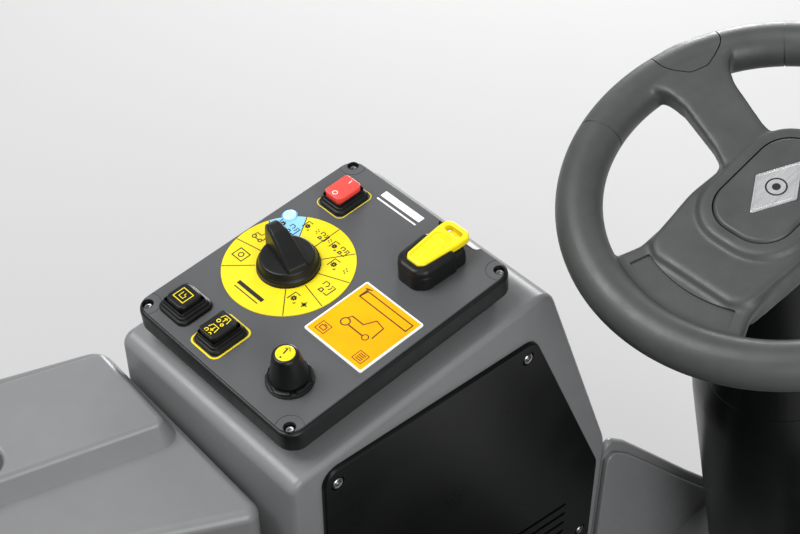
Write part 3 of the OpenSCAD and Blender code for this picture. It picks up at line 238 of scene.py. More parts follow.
def finish(kind):
    """The material of one kind of surface, made once."""
    c = bpy.context.scene.sweeper_colours
    white, dark = linear("#F4F4F2"), linear("#0C0C0D")
    recipes = {
        # rotomoulded polyethylene: a low satin with a soft orange peel and pale scuffs
        "rotomoulded_polyethylene": dict(colour=c.shell, rough=0.36, grain=2.6, depth=0.035, mottle=0.018,
                                         mottle_size=90,
                                         wear=linear("#A5A6A6"), wear_size=7, wear_amount=0.05, spread=0.05),
        # injection moulded ABS with a spark eroded grain: dull black that greys where light grazes it
        "moulded_abs": dict(colour=c.black, rough=0.36, specular=0.28, grain=1.1, depth=0.02, mottle=0.06,
                            wear=linear("#2C2D2E"),
                            wear_amount=0.25, wear_size=5, spread=0.08),
        # smooth polypropylene for the service cover and tower: blacker, with long soft reflections
        "moulded_polypropylene": dict(colour=linear("#0B0C0C"), rough=0.3, specular=0.25, grain=1.6, depth=0.012,
                                      mottle=0.08, spread=0.03,
                                      rough_size=60),
        # screen printed polycarbonate film: a fine velvet texture, even in colour
        "polycarbonate_film": dict(colour=c.fascia, rough=0.48, grain=0.9, depth=0.012, mottle=0.02, mottle_size=50,
                                   spread=0.04),
        # printed inks under the film: flat colour with a faint dot
        "yellow_ink": dict(colour=c.signal, rough=0.42, grain=0.9, depth=0.006, mottle=0.015, mottle_size=12,
                           spread=0.04),
        "blue_ink": dict(colour=c.eco, rough=0.42, grain=0.9, depth=0.006, mottle=0.015, mottle_size=12, spread=0.04),
        "black_ink": dict(colour=dark, rough=0.45, grain=0.7, depth=0.004, mottle=0.03, mottle_size=6, spread=0.05),
        "white_ink": dict(colour=white, rough=0.45, grain=0.7, depth=0.004, mottle=0.01, mottle_size=8, spread=0.05),
        "brown_ink": dict(colour=linear("#5E3403"), rough=0.4, grain=0.7, depth=0.004, mottle=0.04, mottle_size=6,
                          spread=0.05),
        # dyed ABS buttons: a clean colour with a slight gloss, rubbed on top
        "red_abs": dict(colour=c.red, rough=0.3, grain=1.0, depth=0.012, mottle=0.02, mottle_size=10, coat=0.15),
        "yellow_abs": dict(colour=c.signal, rough=0.34, grain=1.0, depth=0.014, mottle=0.02, mottle_size=14, coat=0.1,
                           wear=linear("#D9C400"), wear_amount=0.2, wear_size=4),
        # light guide of clear blue polycarbonate, lit from below
        "lit_polycarbonate": dict(colour=linear("#A9DCF7"), rough=0.14, grain=1.2, depth=0.004, mottle=0.04,
                                  mottle_size=5, glow=0.35,
                                  coat=0.5),
        # backlit display glass: warm glow under a hard gloss
        "display_glass": dict(colour=c.amber, rough=0.3, grain=3, depth=0.003, mottle=0.05, mottle_size=45, glow=0.1,
                              specular=0.2),
        # silicone switch boots: dead matt and very dark
        "silicone_rubber": dict(colour=linear("#0D0E0E"), rough=0.45, specular=0.3, grain=0.9, depth=0.02, mottle=0.08,
                                spread=0.08),
        # self skinning polyurethane foam of the wheel: leathery pores and a rubbed satin
        "polyurethane_foam": dict(colour=c.helm, rough=0.44, grain=1.3, depth=0.05, mottle=0.05, mottle_size=40,
                                  wear=linear("#4C4F4E"), wear_amount=0.2, wear_size=12, crater=True, spread=0.07),
        # brushed stainless badge: thin streaks along one way
        "brushed_stainless": dict(colour=linear("#D8DADB"), rough=0.28, grain=0.6, depth=0.01, mottle=0.04,
                                  metallic=0.85,
                                  stretch=(1, 14, 1), spread=0.08),
        # zinc plated steel screws: bright, faintly yellow in patches
        "zinc_plated_steel": dict(colour=linear("#A9ABAB"), rough=0.3, grain=0.7, depth=0.012, mottle=0.09,
                                  mottle_size=3,
                                  metallic=1.0, spread=0.1),
        # powder coated steel: even satin with a pimpled skin, chipped to grey
        "powder_coated_steel": dict(colour=linear("#25282A"), rough=0.45, grain=1.6, depth=0.05, mottle=0.06,
                                    mottle_size=70,
                                    wear=linear("#6C6E70"), wear_amount=0.5, wear_size=16, crater=True),
        # machined steel of shafts and axles: turned rings, oily
        "turned_steel": dict(colour=linear("#9C9FA2"), rough=0.3, grain=0.8, depth=0.015, mottle=0.08, mottle_size=12,
                             metallic=1.0,
                             stretch=(1, 6, 1), spread=0.1),
        # painted cast hubs: silver grey enamel with dust in the corners
        "painted_hub": dict(colour=linear("#9EA0A2"), rough=0.38, grain=1.8, depth=0.03, mottle=0.05, mottle_size=40,
                            wear=linear("#5F5F5C"), wear_amount=0.5, wear_size=14),
        # non marking tyre rubber: dull, chalky grey bloom over near black
        "moulded_tyre_rubber": dict(colour=linear("#1C1D1E"), rough=0.72, grain=1.5, depth=0.08, mottle=0.1,
                                    mottle_size=30,
                            wear=linear("#3D3C39"), wear_amount=0.4, wear_size=18),
        # ribbed rubber of mat, pedals, bumper and squeegee: matt black with foot dust
        "moulded_rubber": dict(colour=linear("#161718"), rough=0.62, grain=1.2, depth=0.06, mottle=0.09, mottle_size=35,
                               wear=linear("#4A4945"), wear_amount=0.35, wear_size=22),
        # coated seat cloth: leather like pebbles and a soft sheen
        "coated_vinyl": dict(colour=c.vinyl, rough=0.5, grain=1.5, depth=0.09, mottle=0.05, mottle_size=60, crater=True,
                             sheen=0.2),
        # drawn nylon bristle: waxy, each tuft a little different
        "nylon_bristle": dict(colour=c.bristle, rough=0.4, grain=1.0, depth=0.15, mottle=0.12, mottle_size=18,
                              stretch=(1, 1, 1)),
        "dark_bristle": dict(colour=linear("#2B2C2D"), rough=0.45, grain=1.0, depth=0.15, mottle=0.15, mottle_size=14),
        # blow moulded battery case: grey polypropylene, semi gloss
        "battery_polypropylene": dict(colour=linear("#34373A"), rough=0.36, grain=1.6, depth=0.03, mottle=0.05),
        # structural foam of the debris hopper: swirled and dull
        "structural_foam": dict(colour=linear("#3A3C3E"), rough=0.55, grain=2.2, depth=0.08, mottle=0.09,
                                mottle_size=45,
                                wear=linear("#67655F"), wear_amount=0.5, wear_size=20),
        # clear acrylic lamp glass over a bright bowl
        "lamp_acrylic": dict(colour=linear("#EDF1F4"), rough=0.08, grain=4, depth=0.05, mottle=0.02, coat=0.8,
                             specular=0.7),
    }
    return finish_of(kind, **recipes[kind])


# ---- outlines, in millimetres ----

def fillet(points, radius, steps=6):
    """A closed outline with its corners rounded; radius is one number or one for each corner."""
    out, n = [], len(points)
    for i, p in enumerate(points):
        r = radius[i] if isinstance(radius, (list, tuple)) else radius
        p, a, b = Vector(p), Vector(points[i - 1]), Vector(points[(i + 1) % n])
        ta, tb = (a - p), (b - p)
        la, lb = ta.length, tb.length
        ta, tb = ta / la, tb / lb
        turn = ta.angle(tb)
        if r <= 0 or turn > pi - 0.02:
            out.append(p)
            continue
        reach = min(r / max(1e-6, abs(sin(turn / 2) / cos(turn / 2))), la * 0.48, lb * 0.48)
        start, end = p + ta * reach, p + tb * reach
        true_r = reach * sin(turn / 2) / cos(turn / 2)
        middle = p + (ta + tb).normalized() * (true_r / sin(turn / 2))
        a0, a1 = (start - middle), (end - middle)
        sweep = a0.angle(a1)
        side = 1 if a0.x * a1.y - a0.y * a1.x > 0 else -1
        for k in range(steps + 1):
            t = side * sweep * k / steps
            out.append(middle + Vector((a0.x * cos(t) - a0.y * sin(t), a0.x * sin(t) + a0.y * cos(t))))
    return [Vector((q.x, q.y)) for q in out]


def rectangle(length, width, radius=0, steps=6, x=0, y=0):
    corners = [(x - length / 2, y - width / 2), (x + length / 2, y - width / 2), (x + length / 2, y + width / 2),
               (x - length / 2, y + width / 2)]
    return fillet(corners, radius, steps) if radius else [Vector(c) for c in corners]


def ring_of(radius, count, x=0, y=0, start=0.0, sweep=tau):
    closed = abs(sweep - tau) < 1e-6
    return [Vector((x + radius * cos(start + sweep * i / (count if closed else count - 1)),
                    y + radius * sin(start + sweep * i / (count if closed else count - 1)))) for i in range(count)]


def area_of(points):
    return sum(points[i - 1][0] * points[i][1] - points[i][0] * points[i - 1][1] for i in range(len(points))) / 2


# ---- solids in mesh code, in millimetres ----

def prism(points, z0, z1, edge=0.0, foot=0.0, segments=4, taper=0.0, bm=None):
    """Adds a closed slab over an outline, its top rim rounded by edge and its bottom rim by foot."""
    bm = bm or bmesh.new()
    if area_of(points) < 0:
        points = points[::-1]
    rings = []
    layers = []
    if foot:
        layers += [(foot * (1 - sin(pi / 2 * k / segments)), z0 + foot * (1 - cos(pi / 2 * k / segments)))
                   for k in range(segments)]
    layers.append((0.0, z0 + foot))
    if edge:
        layers += [(edge * (1 - cos(pi / 2 * k / segments)), z1 - edge * (1 - sin(pi / 2 * k / segments)))
                   for k in range(0, segments + 1)]
    else:
        layers.append((0.0, z1))
    span = max(1e-6, z1 - z0)
    for inset, z in layers:
        pull = inset + taper * (z - z0) / span
        rings.append([bm.verts.new((q.x, q.y, z)) for q in inward(points, pull)])
    n = len(points)
    for lower, upper in zip(rings, rings[1:]):
        for i in range(n):
            j = (i + 1) % n
            bm.faces.new((lower[i], lower[j], upper[j], upper[i]))
    bm.faces.new(rings[0][::-1])
    bm.faces.new(rings[-1])
    return bm


def inward(points, distance):
    """An outline drawn inside another by a distance, corner by corner."""
    if abs(distance) < 1e-9:
        return [Vector(p) for p in points]
    out, n = [], len(points)
    distance = distance if area_of(points) > 0 else -distance
    for i in range(n):
        a, p, b = Vector(points[i - 1]), Vector(points[i]), Vector(points[(i + 1) % n])
        d0, d1 = (p - a), (b - p)
        if d0.length < 1e-7 or d1.length < 1e-7:
            out.append(p)
            continue
        n0, n1 = Vector((-d0.y, d0.x)).normalized(), Vector((-d1.y, d1.x)).normalized()
        m = n0 + n1
        if m.length < 1e-6:
            out.append(p + n0 * distance)
            continue
        m.normalize()
        out.append(p + m * distance / max(0.35, m.dot(n0)))
    return out


def spun(profile, count=48, bm=None, place=LEVEL, closed=False):
    """Adds a solid of revolution about z from (radius, z) points; radius 0 makes a pole, closed makes a ring."""
    bm = bm or bmesh.new()
    rows = []
    for r, z in profile:
        if r < 1e-6:
            rows.append([bm.verts.new(place @ Vector((0, 0, z)))] * count)
        else:
            rows.append([bm.verts.new(place @ Vector((r * cos(tau * i / count), r * sin(tau * i / count), z)))
                         for i in range(count)])
    pairs = list(zip(rows, rows[1:])) + ([(rows[-1], rows[0])] if closed else [])
    for lower, upper in pairs:
        for i in range(count):
            j = (i + 1) % count
            unique = list(dict.fromkeys((lower[i], lower[j], upper[j], upper[i])))
            if len(unique) > 2:
                bm.faces.new(unique)
    if closed:
        bmesh.ops.recalc_face_normals(bm, faces=bm.faces)
        return bm
    for row, flip in ((rows[0], True), (rows[-1], False)):
        if len(set(row)) > 2:
            bm.faces.new(row[::-1] if flip else row)
    return bm


def swept(path, radius, sides=10, closed=False):
    """A round bar along points; its radius is a number, or a function of the way along from 0 to 1."""
    bm = bmesh.new()
    points = [Vector(p) for p in path]
    n = len(points)
    rows, side = [], None
    for i, p in enumerate(points):
        before = points[i - 1] if (i or closed) else p
        after = points[(i + 1) % n] if (i < n - 1 or closed) else p
        along = (after - before).normalized()
        if side is None:
            side = along.orthogonal().normalized()
        side = (side - along * side.dot(along)).normalized()
        up = along.cross(side)
        r = radius(i / max(1, n - 1)) if callable(radius) else radius
        rows.append([bm.verts.new(p + side * r * cos(tau * k / sides) + up * r * sin(tau * k / sides))
                     for k in range(sides)])
    pairs = list(zip(rows, rows[1:])) + ([(rows[-1], rows[0])] if closed else [])
    for a, b in pairs:
        for k in range(sides):
            j = (k + 1) % sides
            bm.faces.new((a[k], a[j], b[j], b[k]))
    if not closed:
        bm.faces.new(rows[0][::-1])
        bm.faces.new(rows[-1])
    return bm


def moved(bm, matrix):
    bmesh.ops.transform(bm, matrix=matrix, verts=bm.verts)
    return bm


def along_y(bm):
    """Turns a slab drawn on (x, z) so that its thickness runs along y."""
    for v in bm.verts:
        v.co = Vector((v.co.x, v.co.z, v.co.y))
    bmesh.ops.reverse_faces(bm, faces=bm.faces)
    return bm


def mirrored(bm):
    """The same solid on the other side of the machine."""
    for v in bm.verts:
        v.co.y = -v.co.y
    bmesh.ops.reverse_faces(bm, faces=bm.faces)
    return bm


def joined(*parts):
    """One mesh of several solids, which are used up."""
    whole = bmesh.new()
    for part in parts:
        mesh = bpy.data.meshes.new("part")
        part.to_mesh(mesh)
        whole.from_mesh(mesh)
        bpy.data.meshes.remove(mesh)
        part.free()
    return whole


def linked(name, data):
    """A new object in the scene."""
    made = bpy.data.objects.new(name, data)
    bpy.context.scene.collection.objects.link(made)
    return made


def temporary(bm, name="tool"):
    """An object of a solid, which is used up."""
    mesh = bpy.data.meshes.new(name)
    bm.to_mesh(mesh)
    bm.free()
    return linked(name, mesh)


def taken(mesh):
    """A solid from a mesh, which is used up."""
    out = bmesh.new()
    out.from_mesh(mesh)
    bpy.data.meshes.remove(mesh)
    return out


def evaluated(made):
    """A plain mesh of an object with its modifiers applied."""
    bpy.context.view_layer.update()
    return bpy.data.meshes.new_from_object(made.evaluated_get(bpy.context.evaluated_depsgraph_get()))


def discard(*objects):
    for made in objects:
        mesh = made.data
        bpy.data.objects.remove(made)
        bpy.data.meshes.remove(mesh)


def carved(bm, cutters, operation="DIFFERENCE"):
    """The solid with each cutter taken away, or joined to it."""
    target = temporary(bm, "target")
    tools = [temporary(c) for c in cutters]
    for tool in tools:
        cut = target.modifiers.new("cut", "BOOLEAN")
        cut.object, cut.operation, cut.solver = tool, operation, "EXACT"
    mesh = evaluated(target)
    discard(target, *tools)
    return taken(mesh)


def smooth_voxels(bm, voxel, rounds):
    """The solid remeshed at a voxel size and relaxed, so that its parts flow together."""
    target = temporary(bm, "target")
    remesh = target.modifiers.new("skin", "REMESH")
    remesh.mode, remesh.voxel_size = "VOXEL", voxel
    relax = target.modifiers.new("relax", "SMOOTH")
    relax.factor, relax.iterations = 0.5, rounds
    mesh = evaluated(target)
    discard(target)
    return taken(mesh)


def listed(made, body, replaces):
    """Puts a piece on the body that carries it and hides the nodes that it replaces."""
    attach(made, body)
    if replaces:
        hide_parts(*replaces)
    return made


def piece(name, bm, kind, body, replaces=(), place=LEVEL, sharp=34):
    """Turns a solid in millimetres into a finished piece of the machine, in metres, riding on a body."""
    made = temporary(moved(bm, Matrix.Scale(MM, 4) @ place), name)
    mesh = made.data
    mesh.materials.append(finish(kind))
    mesh.shade_smooth()
    if sharp:
        mesh.set_sharp_from_angle(angle=radians(sharp))
        even = made.modifiers.new("even", "WEIGHTED_NORMAL")
        even.keep_sharp = True
        new = evaluated(made)
        made.modifiers.clear()
        made.data = new
        bpy.data.meshes.remove(mesh)
        new.name = name
    return listed(made, body, replaces)


def keep_node(name, kind):
    """A CAD node that stays as it is, in a finish of its own."""
    node = NODES[name]
    material = finish(kind)
    node.data.materials.clear()
    node.data.materials.append(material)
    for polygon in node.data.polygons:
        polygon.material_index = 0


def softened(node, kind, body, edge, segments=2):
    """A copy of a CAD node with its mesh merged and its sharp edges broken by edge millimetres."""
    bm = bmesh.new()
    bm.from_mesh(NODES[node].data)
    bmesh.ops.remove_doubles(bm, verts=bm.verts, dist=2e-6)
    bmesh.ops.dissolve_limit(bm, angle_limit=radians(0.4), verts=bm.verts, edges=bm.edges)
    bmesh.ops.scale(bm, vec=(1 / MM,) * 3, verts=bm.verts)
    target = temporary(bm, "target")
    bevel = target.modifiers.new("edge", "BEVEL")
    bevel.width, bevel.segments, bevel.limit_method, bevel.angle_limit = edge, segments, "ANGLE", radians(38)
    bevel.miter_outer = "MITER_ARC"
    mesh = evaluated(target)
    discard(target)
    return piece(node + "_finished", taken(mesh), kind, body, (node,))


# ---- printed marks ----

def band(bm, outer, inner, z0, z1):
    """Adds a flat ring between two outlines of as many points."""
    loops = [[bm.verts.new((p.x, p.y, z)) for p in line] for line, z in ((outer, z0), (inner, z0), (outer, z1),
                                                                         (inner, z1))]
    n = len(outer)
    for i in range(n):
        j = (i + 1) % n
        bm.faces.new((loops[2][i], loops[2][j], loops[3][j], loops[3][i]))
        bm.faces.new((loops[0][j], loops[0][i], loops[1][i], loops[1][j]))
        bm.faces.new((loops[0][i], loops[0][j], loops[2][j], loops[2][i]))
        bm.faces.new((loops[1][j], loops[1][i], loops[3][i], loops[3][j]))
    return bm


def stroke(bm, points, width, z0, z1, closed=False):
    """Adds a flat printed line along points."""
    points = [Vector(p) for p in points]
    if closed:
        if area_of(points) < 0:
            points = points[::-1]
        return band(bm, inward(points, -width / 2), inward(points, width / 2), z0, z1)
    left, right = [], []
    for i, p in enumerate(points):
        a, b = points[max(0, i - 1)], points[min(len(points) - 1, i + 1)]
        along = (b - a).normalized()
        normal = Vector((-along.y, along.x)) * width / 2
        left.append(p + normal)
        right.append(p - normal)
    for i in range(len(points) - 1):
        prism([right[i], right[i + 1], left[i + 1], left[i]], z0, z1, bm=bm)
    return bm


def spot(bm, x, y, radius, z0, z1, count=20):
    return prism(ring_of(radius, count, x, y), z0, z1, bm=bm)


def sign(bm, kind, x, y, size, line, z0, z1):
    """Adds one plain pictogram of the dial, keys or display, upright on the panel: across is -y, up is x."""
    def at(points):
        return [Vector((x + b * size, y - a * size)) for a, b in points]

    def line_of(*points, closed=False):
        stroke(bm, at(points), line, z0, z1, closed)

    def wheel(a, b, r, thick=1.0):
        centre = at([(a, b)])[0]
        stroke(bm, ring_of(r * size, 18, centre.x, centre.y), line * thick, z0, z1, True)

    def dot(a, b, r):
        centre = at([(a, b)])[0]
        spot(bm, centre.x, centre.y, r * size, z0, z1, 12)

    if kind == "box":
        line_of((-0.5, -0.42), (0.5, -0.42), (0.5, 0.42), (-0.5, 0.42), closed=True)
        wheel(0, 0, 0.2)
    elif kind == "vehicle":
        wheel(-0.34, -0.26, 0.15)
        wheel(0.3, -0.28, 0.13)
        line_of((-0.18, -0.3), (0.17, -0.3))
        line_of((-0.45, -0.1), (-0.42, 0.12), (0.0, 0.12), (0.06, 0.42), (0.42, 0.34), (0.46, -0.16))
    elif kind == "brush":
        line_of((-0.5, -0.5), (-0.5, 0.45), (0.1, 0.45))
        wheel(-0.1, -0.1, 0.14, 1.6)
        for k in range(8):
            c, s = cos(tau * k / 8), sin(tau * k / 8)
            line_of((-0.1 + 0.19 * c, -0.1 + 0.19 * s), (-0.1 + 0.29 * c, -0.1 + 0.29 * s))
        line_of((0.22, -0.5), (0.36, -0.5), (0.36, -0.32))
    elif kind == "suction":
        line_of((-0.48, 0.1), (-0.48, 0.45), (-0.16, 0.45), (-0.02, 0.25), (-0.14, 0.06))
        line_of((0.5, -0.42), (0.5, 0.42), (0.16, 0.42), (0.28, 0.2), (0.16, 0.0))
        line_of((-0.34, -0.44), (0.0, -0.44), (-0.06, -0.18), (-0.28, -0.18), closed=True)
        line_of((0.14, -0.42), (0.5, -0.42))
    elif kind == "drops":
        for a, b in ((0.0, 0.0), (0.22, 0.18), (0.22, -0.12), (0.0, 0.3)):
            dot(a, b, 0.07)
    elif kind == "spark":
        for k in range(4):
            c, s = cos(pi * k / 4), sin(pi * k / 4)
            r = 0.34 if k % 2 == 0 else 0.2
            line_of((-r * c, -r * s), (r * c, r * s))
    elif kind == "horn":
        line_of((-0.5, -0.45), (0.5, -0.45), (0.5, 0.45), (-0.5, 0.45), closed=True)
        line_of((-0.22, 0.22), (-0.22, -0.2), (0.2, -0.2), (0.2, 0.06), (0.04, 0.06), (0.04, 0.22))
    elif kind in ("forward", "reverse"):
        wheel(-0.3, -0.3, 0.15)
        wheel(0.24, -0.42, 0.12)
        line_of((-0.44, 0.02), (-0.3, 0.42), (0.34, 0.42), (0.44, -0.12))
        tip = 0.28 if kind == "forward" else -0.14
        line_of((0.04, -0.18), (0.04, 0.3))
        line_of((-0.12, tip - (0.14 if kind == "forward" else -0.14)), (0.04, tip),
                (0.2, tip - (0.14 if kind == "forward" else -0.14)))
    return bm


# ---- Geometry Nodes for what repeats ----

def node_group(name, sockets):
    """A new Geometry Nodes tree with a Geometry in and out and named inputs."""
    tree = bpy.data.node_groups.new(name, "GeometryNodeTree")
    tree.interface.new_socket("Geometry", in_out="INPUT", socket_type="NodeSocketGeometry")
    for label, kind, value in sockets:
        made = tree.interface.new_socket(label, in_out="INPUT", socket_type=kind)
        if value is not None:
            made.default_value = value
    tree.interface.new_socket("Geometry", in_out="OUTPUT", socket_type="NodeSocketGeometry")
    return tree


def grown(name, tree, base, values, body, replaces=(), sharp=34):
    """Runs a tree over a base mesh in metres and keeps the result as a plain piece on a body."""
    made = linked(name, base)
    modifier = made.modifiers.new("nodes", "NODES")
    modifier.node_group = tree
    for item in tree.interface.items_tree:
        if item.item_type == "SOCKET" and item.in_out == "INPUT" and item.name in values:
            modifier[item.identifier] = values[item.name]
    mesh = evaluated(made)
    made.modifiers.clear()
    made.data = mesh
    bpy.data.meshes.remove(base)
    mesh.name = name
    mesh.shade_smooth()
    if sharp:
        mesh.set_sharp_from_angle(angle=radians(sharp))
    return listed(made, body, replaces)


def scatter_tree():
    """A tree that stands one head mesh on every point, along the point's own normal."""
    name = "stand_on_points"
    if name in bpy.data.node_groups:
        return bpy.data.node_groups[name]
    tree = node_group(name, [("Head", "NodeSocketObject", None), ("Size", "NodeSocketFloat", 1.0),
                             ("Turn", "NodeSocketFloat", 0.0), ("Seed", "NodeSocketInt", 7),
                             ("Finish", "NodeSocketMaterial", None)])
    start = add(tree, "NodeGroupInput")
    head = add(tree, "GeometryNodeObjectInfo", {"Object": start.outputs["Head"]}, transform_space="ORIGINAL")
    up = add(tree, "GeometryNodeInputNamedAttribute", {"Name": "axis"}, data_type="FLOAT_VECTOR")
    aim = add(tree, "FunctionNodeAlignRotationToVector", {"Vector": up.outputs["Attribute"]}, axis="Z")
    spin = add(tree, "FunctionNodeRandomValue", {"Seed": start.outputs["Seed"]}, data_type="FLOAT")
    angle = add(tree, "ShaderNodeMath", {0: spin.outputs[1], 1: start.outputs["Turn"]}, operation="MULTIPLY")
    about = add(tree, "ShaderNodeCombineXYZ", {"Z": angle.outputs[0]})
    local = add(tree, "FunctionNodeEulerToRotation", {"Euler": about.outputs[0]})
    both = add(tree, "FunctionNodeRotateRotation", {"Rotation": aim.outputs[0], "Rotate By": local.outputs[0]},
               rotation_space="LOCAL")
    stand = add(tree, "GeometryNodeInstanceOnPoints",
                {"Points": start.outputs["Geometry"], "Instance": head.outputs["Geometry"],
                                                       "Rotation": both.outputs[0], "Scale": start.outputs["Size"]})
    real = add(tree, "GeometryNodeRealizeInstances", {"Geometry": stand.outputs[0]})
    coat = add(tree, "GeometryNodeSetMaterial", {"Geometry": real.outputs[0], "Material": start.outputs["Finish"]})
    add(tree, "NodeGroupOutput", {"Geometry": coat.outputs[0]})
    return tree


def stood_on(name, head, spots, kind, body, replaces=(), size=1.0, turn=0.0, seed=7):
    """One piece of many copies of a head (millimetres, standing on z): spots are (point, axis) in millimetres."""
    base = bpy.data.meshes.new(name)
    base.from_pydata([Vector(p) * MM for p, _ in spots], [], [])
    axis = base.attributes.new("axis", "FLOAT_VECTOR", "POINT")
    for k, (_, a) in enumerate(spots):
        axis.data[k].vector = Vector(a).normalized()
    bmesh.ops.scale(head, vec=(MM, MM, MM), verts=head.verts)
    tool = temporary(head, "head")
    made = grown(name, scatter_tree(), base, {"Head": tool, "Size": size, "Turn": turn, "Seed": seed,
                                              "Finish": finish(kind)},
                 body, replaces)
    discard(tool)
    return made


def socket_screw(radius, height, recess, depth):
    """A cheese head with a hexagon socket, standing on z = 0."""
    head = spun([(radius * 0.98, 0), (radius, height * 0.25), (radius, height * 0.72), (radius * 0.88, height),
                 (recess * 1.25, height),
                 (recess, height - 0.15)], 24)
    top = [f for f in head.faces if all(abs(v.co.z - (height - 0.15)) < 1e-6 for v in f.verts)]
    bmesh.ops.delete(head, geom=top, context="FACES")
    rim = sorted([v for v in head.verts if abs(v.co.z - (height - 0.15)) < 1e-6], key=lambda v: atan2(v.co.y, v.co.x))
    low = [head.verts.new((recess * 0.9 * cos(atan2(v.co.y, v.co.x)) * (1 - 0.1 * (k % 4 == 2)),
                           recess * 0.9 * sin(atan2(v.co.y, v.co.x)) * (1 - 0.1 * (k % 4 == 2)), height - depth))
           for k, v in enumerate(rim)]
    n = len(rim)
    for k in range(n):
        j = (k + 1) % n
        head.faces.new((rim[k], rim[j], low[j], low[k]))
    head.faces.new(low)
    return head


def hexagon_bolt(radius, height, washer=1.35):
    """A hexagon head on its washer, standing on z = 0."""
    head = spun([(radius * washer, 0), (radius * washer, height * 0.2), (radius * washer * 0.96, height * 0.26),
                 (0, height * 0.26)], 24)
    prism(ring_of(radius, 6), height * 0.2, height, edge=height * 0.14, segments=2, bm=head)
    return head


# ---- the covers ----

def top_of_console(x):
    return 837.86 + (x - 140) * 0.08749


CONSOLE_SIDE = [(19, 232), (19, top_of_console(19)), (280, top_of_console(280)), (374, 600), (374, 232)]
TANK_PLAN = [(9, 121), (-201, 232), (-598, 232), (-598, 400), (-150, 400), (17, 338)]
PAD_PLAN = [(9, 211), (-132, 253), (-540, 262), (-562, 284), (-562, 362), (-546, 380), (-190, 380), (-66, 352),
            (16, 324)]
HOOD_PLAN = [(-60, -150), (-60, 150), (-192, 222), (-597, 226), (-597, -226), (-192, -222)]
COVER_SIDE = [(45, 430), (45, 822), (263, 808), (360, 585), (362, 430)]
COVER_SCREWS = [(57, 806), (254, 794), (347, 494), (57, 446)]
LIP = [(375, 598), (406, 570), (448, 520), (518, 436), (582, 362), (612, 340)]
RAIL_NOTCH = dict(y0=-400, y1=172, z0=0, z1=290.5)


def notch():
    return prism(rectangle(3000, RAIL_NOTCH["y1"] - RAIL_NOTCH["y0"], y=(RAIL_NOTCH["y0"] + RAIL_NOTCH["y1"]) / 2),
                 RAIL_NOTCH["z0"], RAIL_NOTCH["z1"])


def cup(points, z0, z1, foot, rim, steps=5):
    """A cutter for a pocket whose floor is rounded by foot and whose mouth rolls over by rim."""
    bm = bmesh.new()
    points = points if area_of(points) > 0 else points[::-1]
    layers = [(foot * (1 - sin(pi / 2 * k / steps)), z0 + foot * (1 - cos(pi / 2 * k / steps)))
              for k in range(steps + 1)]
    layers += [(-rim * (1 - cos(pi / 2 * k / steps)), z1 - rim + rim * sin(pi / 2 * k / steps))
               for k in range(steps + 1)]
    layers.append((-rim, z1 + 20))
    rings = [[bm.verts.new((p.x, p.y, z)) for p in inward(points, pull)] for pull, z in layers]
    n = len(points)
    for lower, upper in zip(rings, rings[1:]):
        for i in range(n):
            j = (i + 1) % n
            bm.faces.new((lower[i], lower[j], upper[j], upper[i]))
    bm.faces.new(rings[0][::-1])
    bm.faces.new(rings[-1])
    return bm


def bar(x0, x1, y0, y1, z0, z1, edge=0.0, corner=0.0):
    return prism(rectangle(x1 - x0, y1 - y0, corner, 5, (x0 + x1) / 2, (y0 + y1) / 2), z0, z1, edge=edge, foot=edge,
                 segments=3)


def axle(x, z, y0, y1, radius, count=48, edge=0.0):
    """A round bar along y."""
    place = offset_by(x, y0, z) @ turned(-90, "X")
    length = y1 - y0
    profile = [(radius - edge, 0), (radius, edge), (radius, length - edge),
               (radius - edge, length)] if edge else [(radius, 0), (radius, length)]
    return spun(profile, count, place=place)


class SWEEPER_OT_console(bpy.types.Operator):
    """Console shell with its service cover, louvres and screws"""
    bl_idname, bl_label = "sweeper.console", "Console"

    def execute(self, context):
        s = context.scene.sweeper_sizes
        edge = s.shell_edge / MM
        shape = fillet(CONSOLE_SIDE, [0, edge + 3, 24, 60, 0], 8)
        body = along_y(prism(shape, 105, 312, edge=edge * 0.9, foot=edge * 0.55, segments=6))
        inside = along_y(prism(inward(fillet([(x, z - 8 if z < 240 else z) for x, z in CONSOLE_SIDE],
                                             [0, 12, 20, 56, 0], 6), 5), 110, 307))
        bmesh.ops.translate(inside, vec=(0, 0, -4), verts=inside.verts)
        piece("console_shell", carved(body, [inside, notch()]), "rotomoulded_polyethylene", "frame",
              ("console_body",))
        plate = along_y(prism(fillet(COVER_SIDE, [14, 14, 16, 26, 14], 6), 101, 105, foot=1.4, segments=3))
        tilt = turned(9.2, "Y")
        cuts = []
        for i in range(6):
            slot = prism(rectangle(74, 4, 1.9, 4, 37, 0), -2, 8)
            along_y(slot)
            cuts.append(moved(slot, offset_by(249, 100, 566 - 13 * i) @ tilt))
        for x, z in COVER_SCREWS:
            cuts.append(axle(x, z, 99, 103, 6.2, 32))
        piece("service_cover", carved(plate, cuts), "moulded_polypropylene", "frame",
              ("console_cover",))
        blade = along_y(prism(rectangle(76, 9, 1, 3, 38, 0), 0, 1.2))
        moved(blade, offset_by(0, 1.2, 0) @ turned(-38, "X"))
        count = s.louvres
        spots = [((248, 105.2, 567 - 13 * 5 * i / max(1, count - 1)), (sin(radians(9.2)), 0, cos(radians(9.2))))
                 for i in range(count)]
        stood_on("louvre_blades", blade, spots, "moulded_polypropylene", "frame")
        stood_on("cover_screws_finished", socket_screw(4.8, 2.6, 2.6, 1.9),
                 [((x, 103, z), (0, -1, 0)) for x, z in COVER_SCREWS],
                 "zinc_plated_steel", "frame", ("cover_screws",), turn=tau)
        return {"FINISHED"}


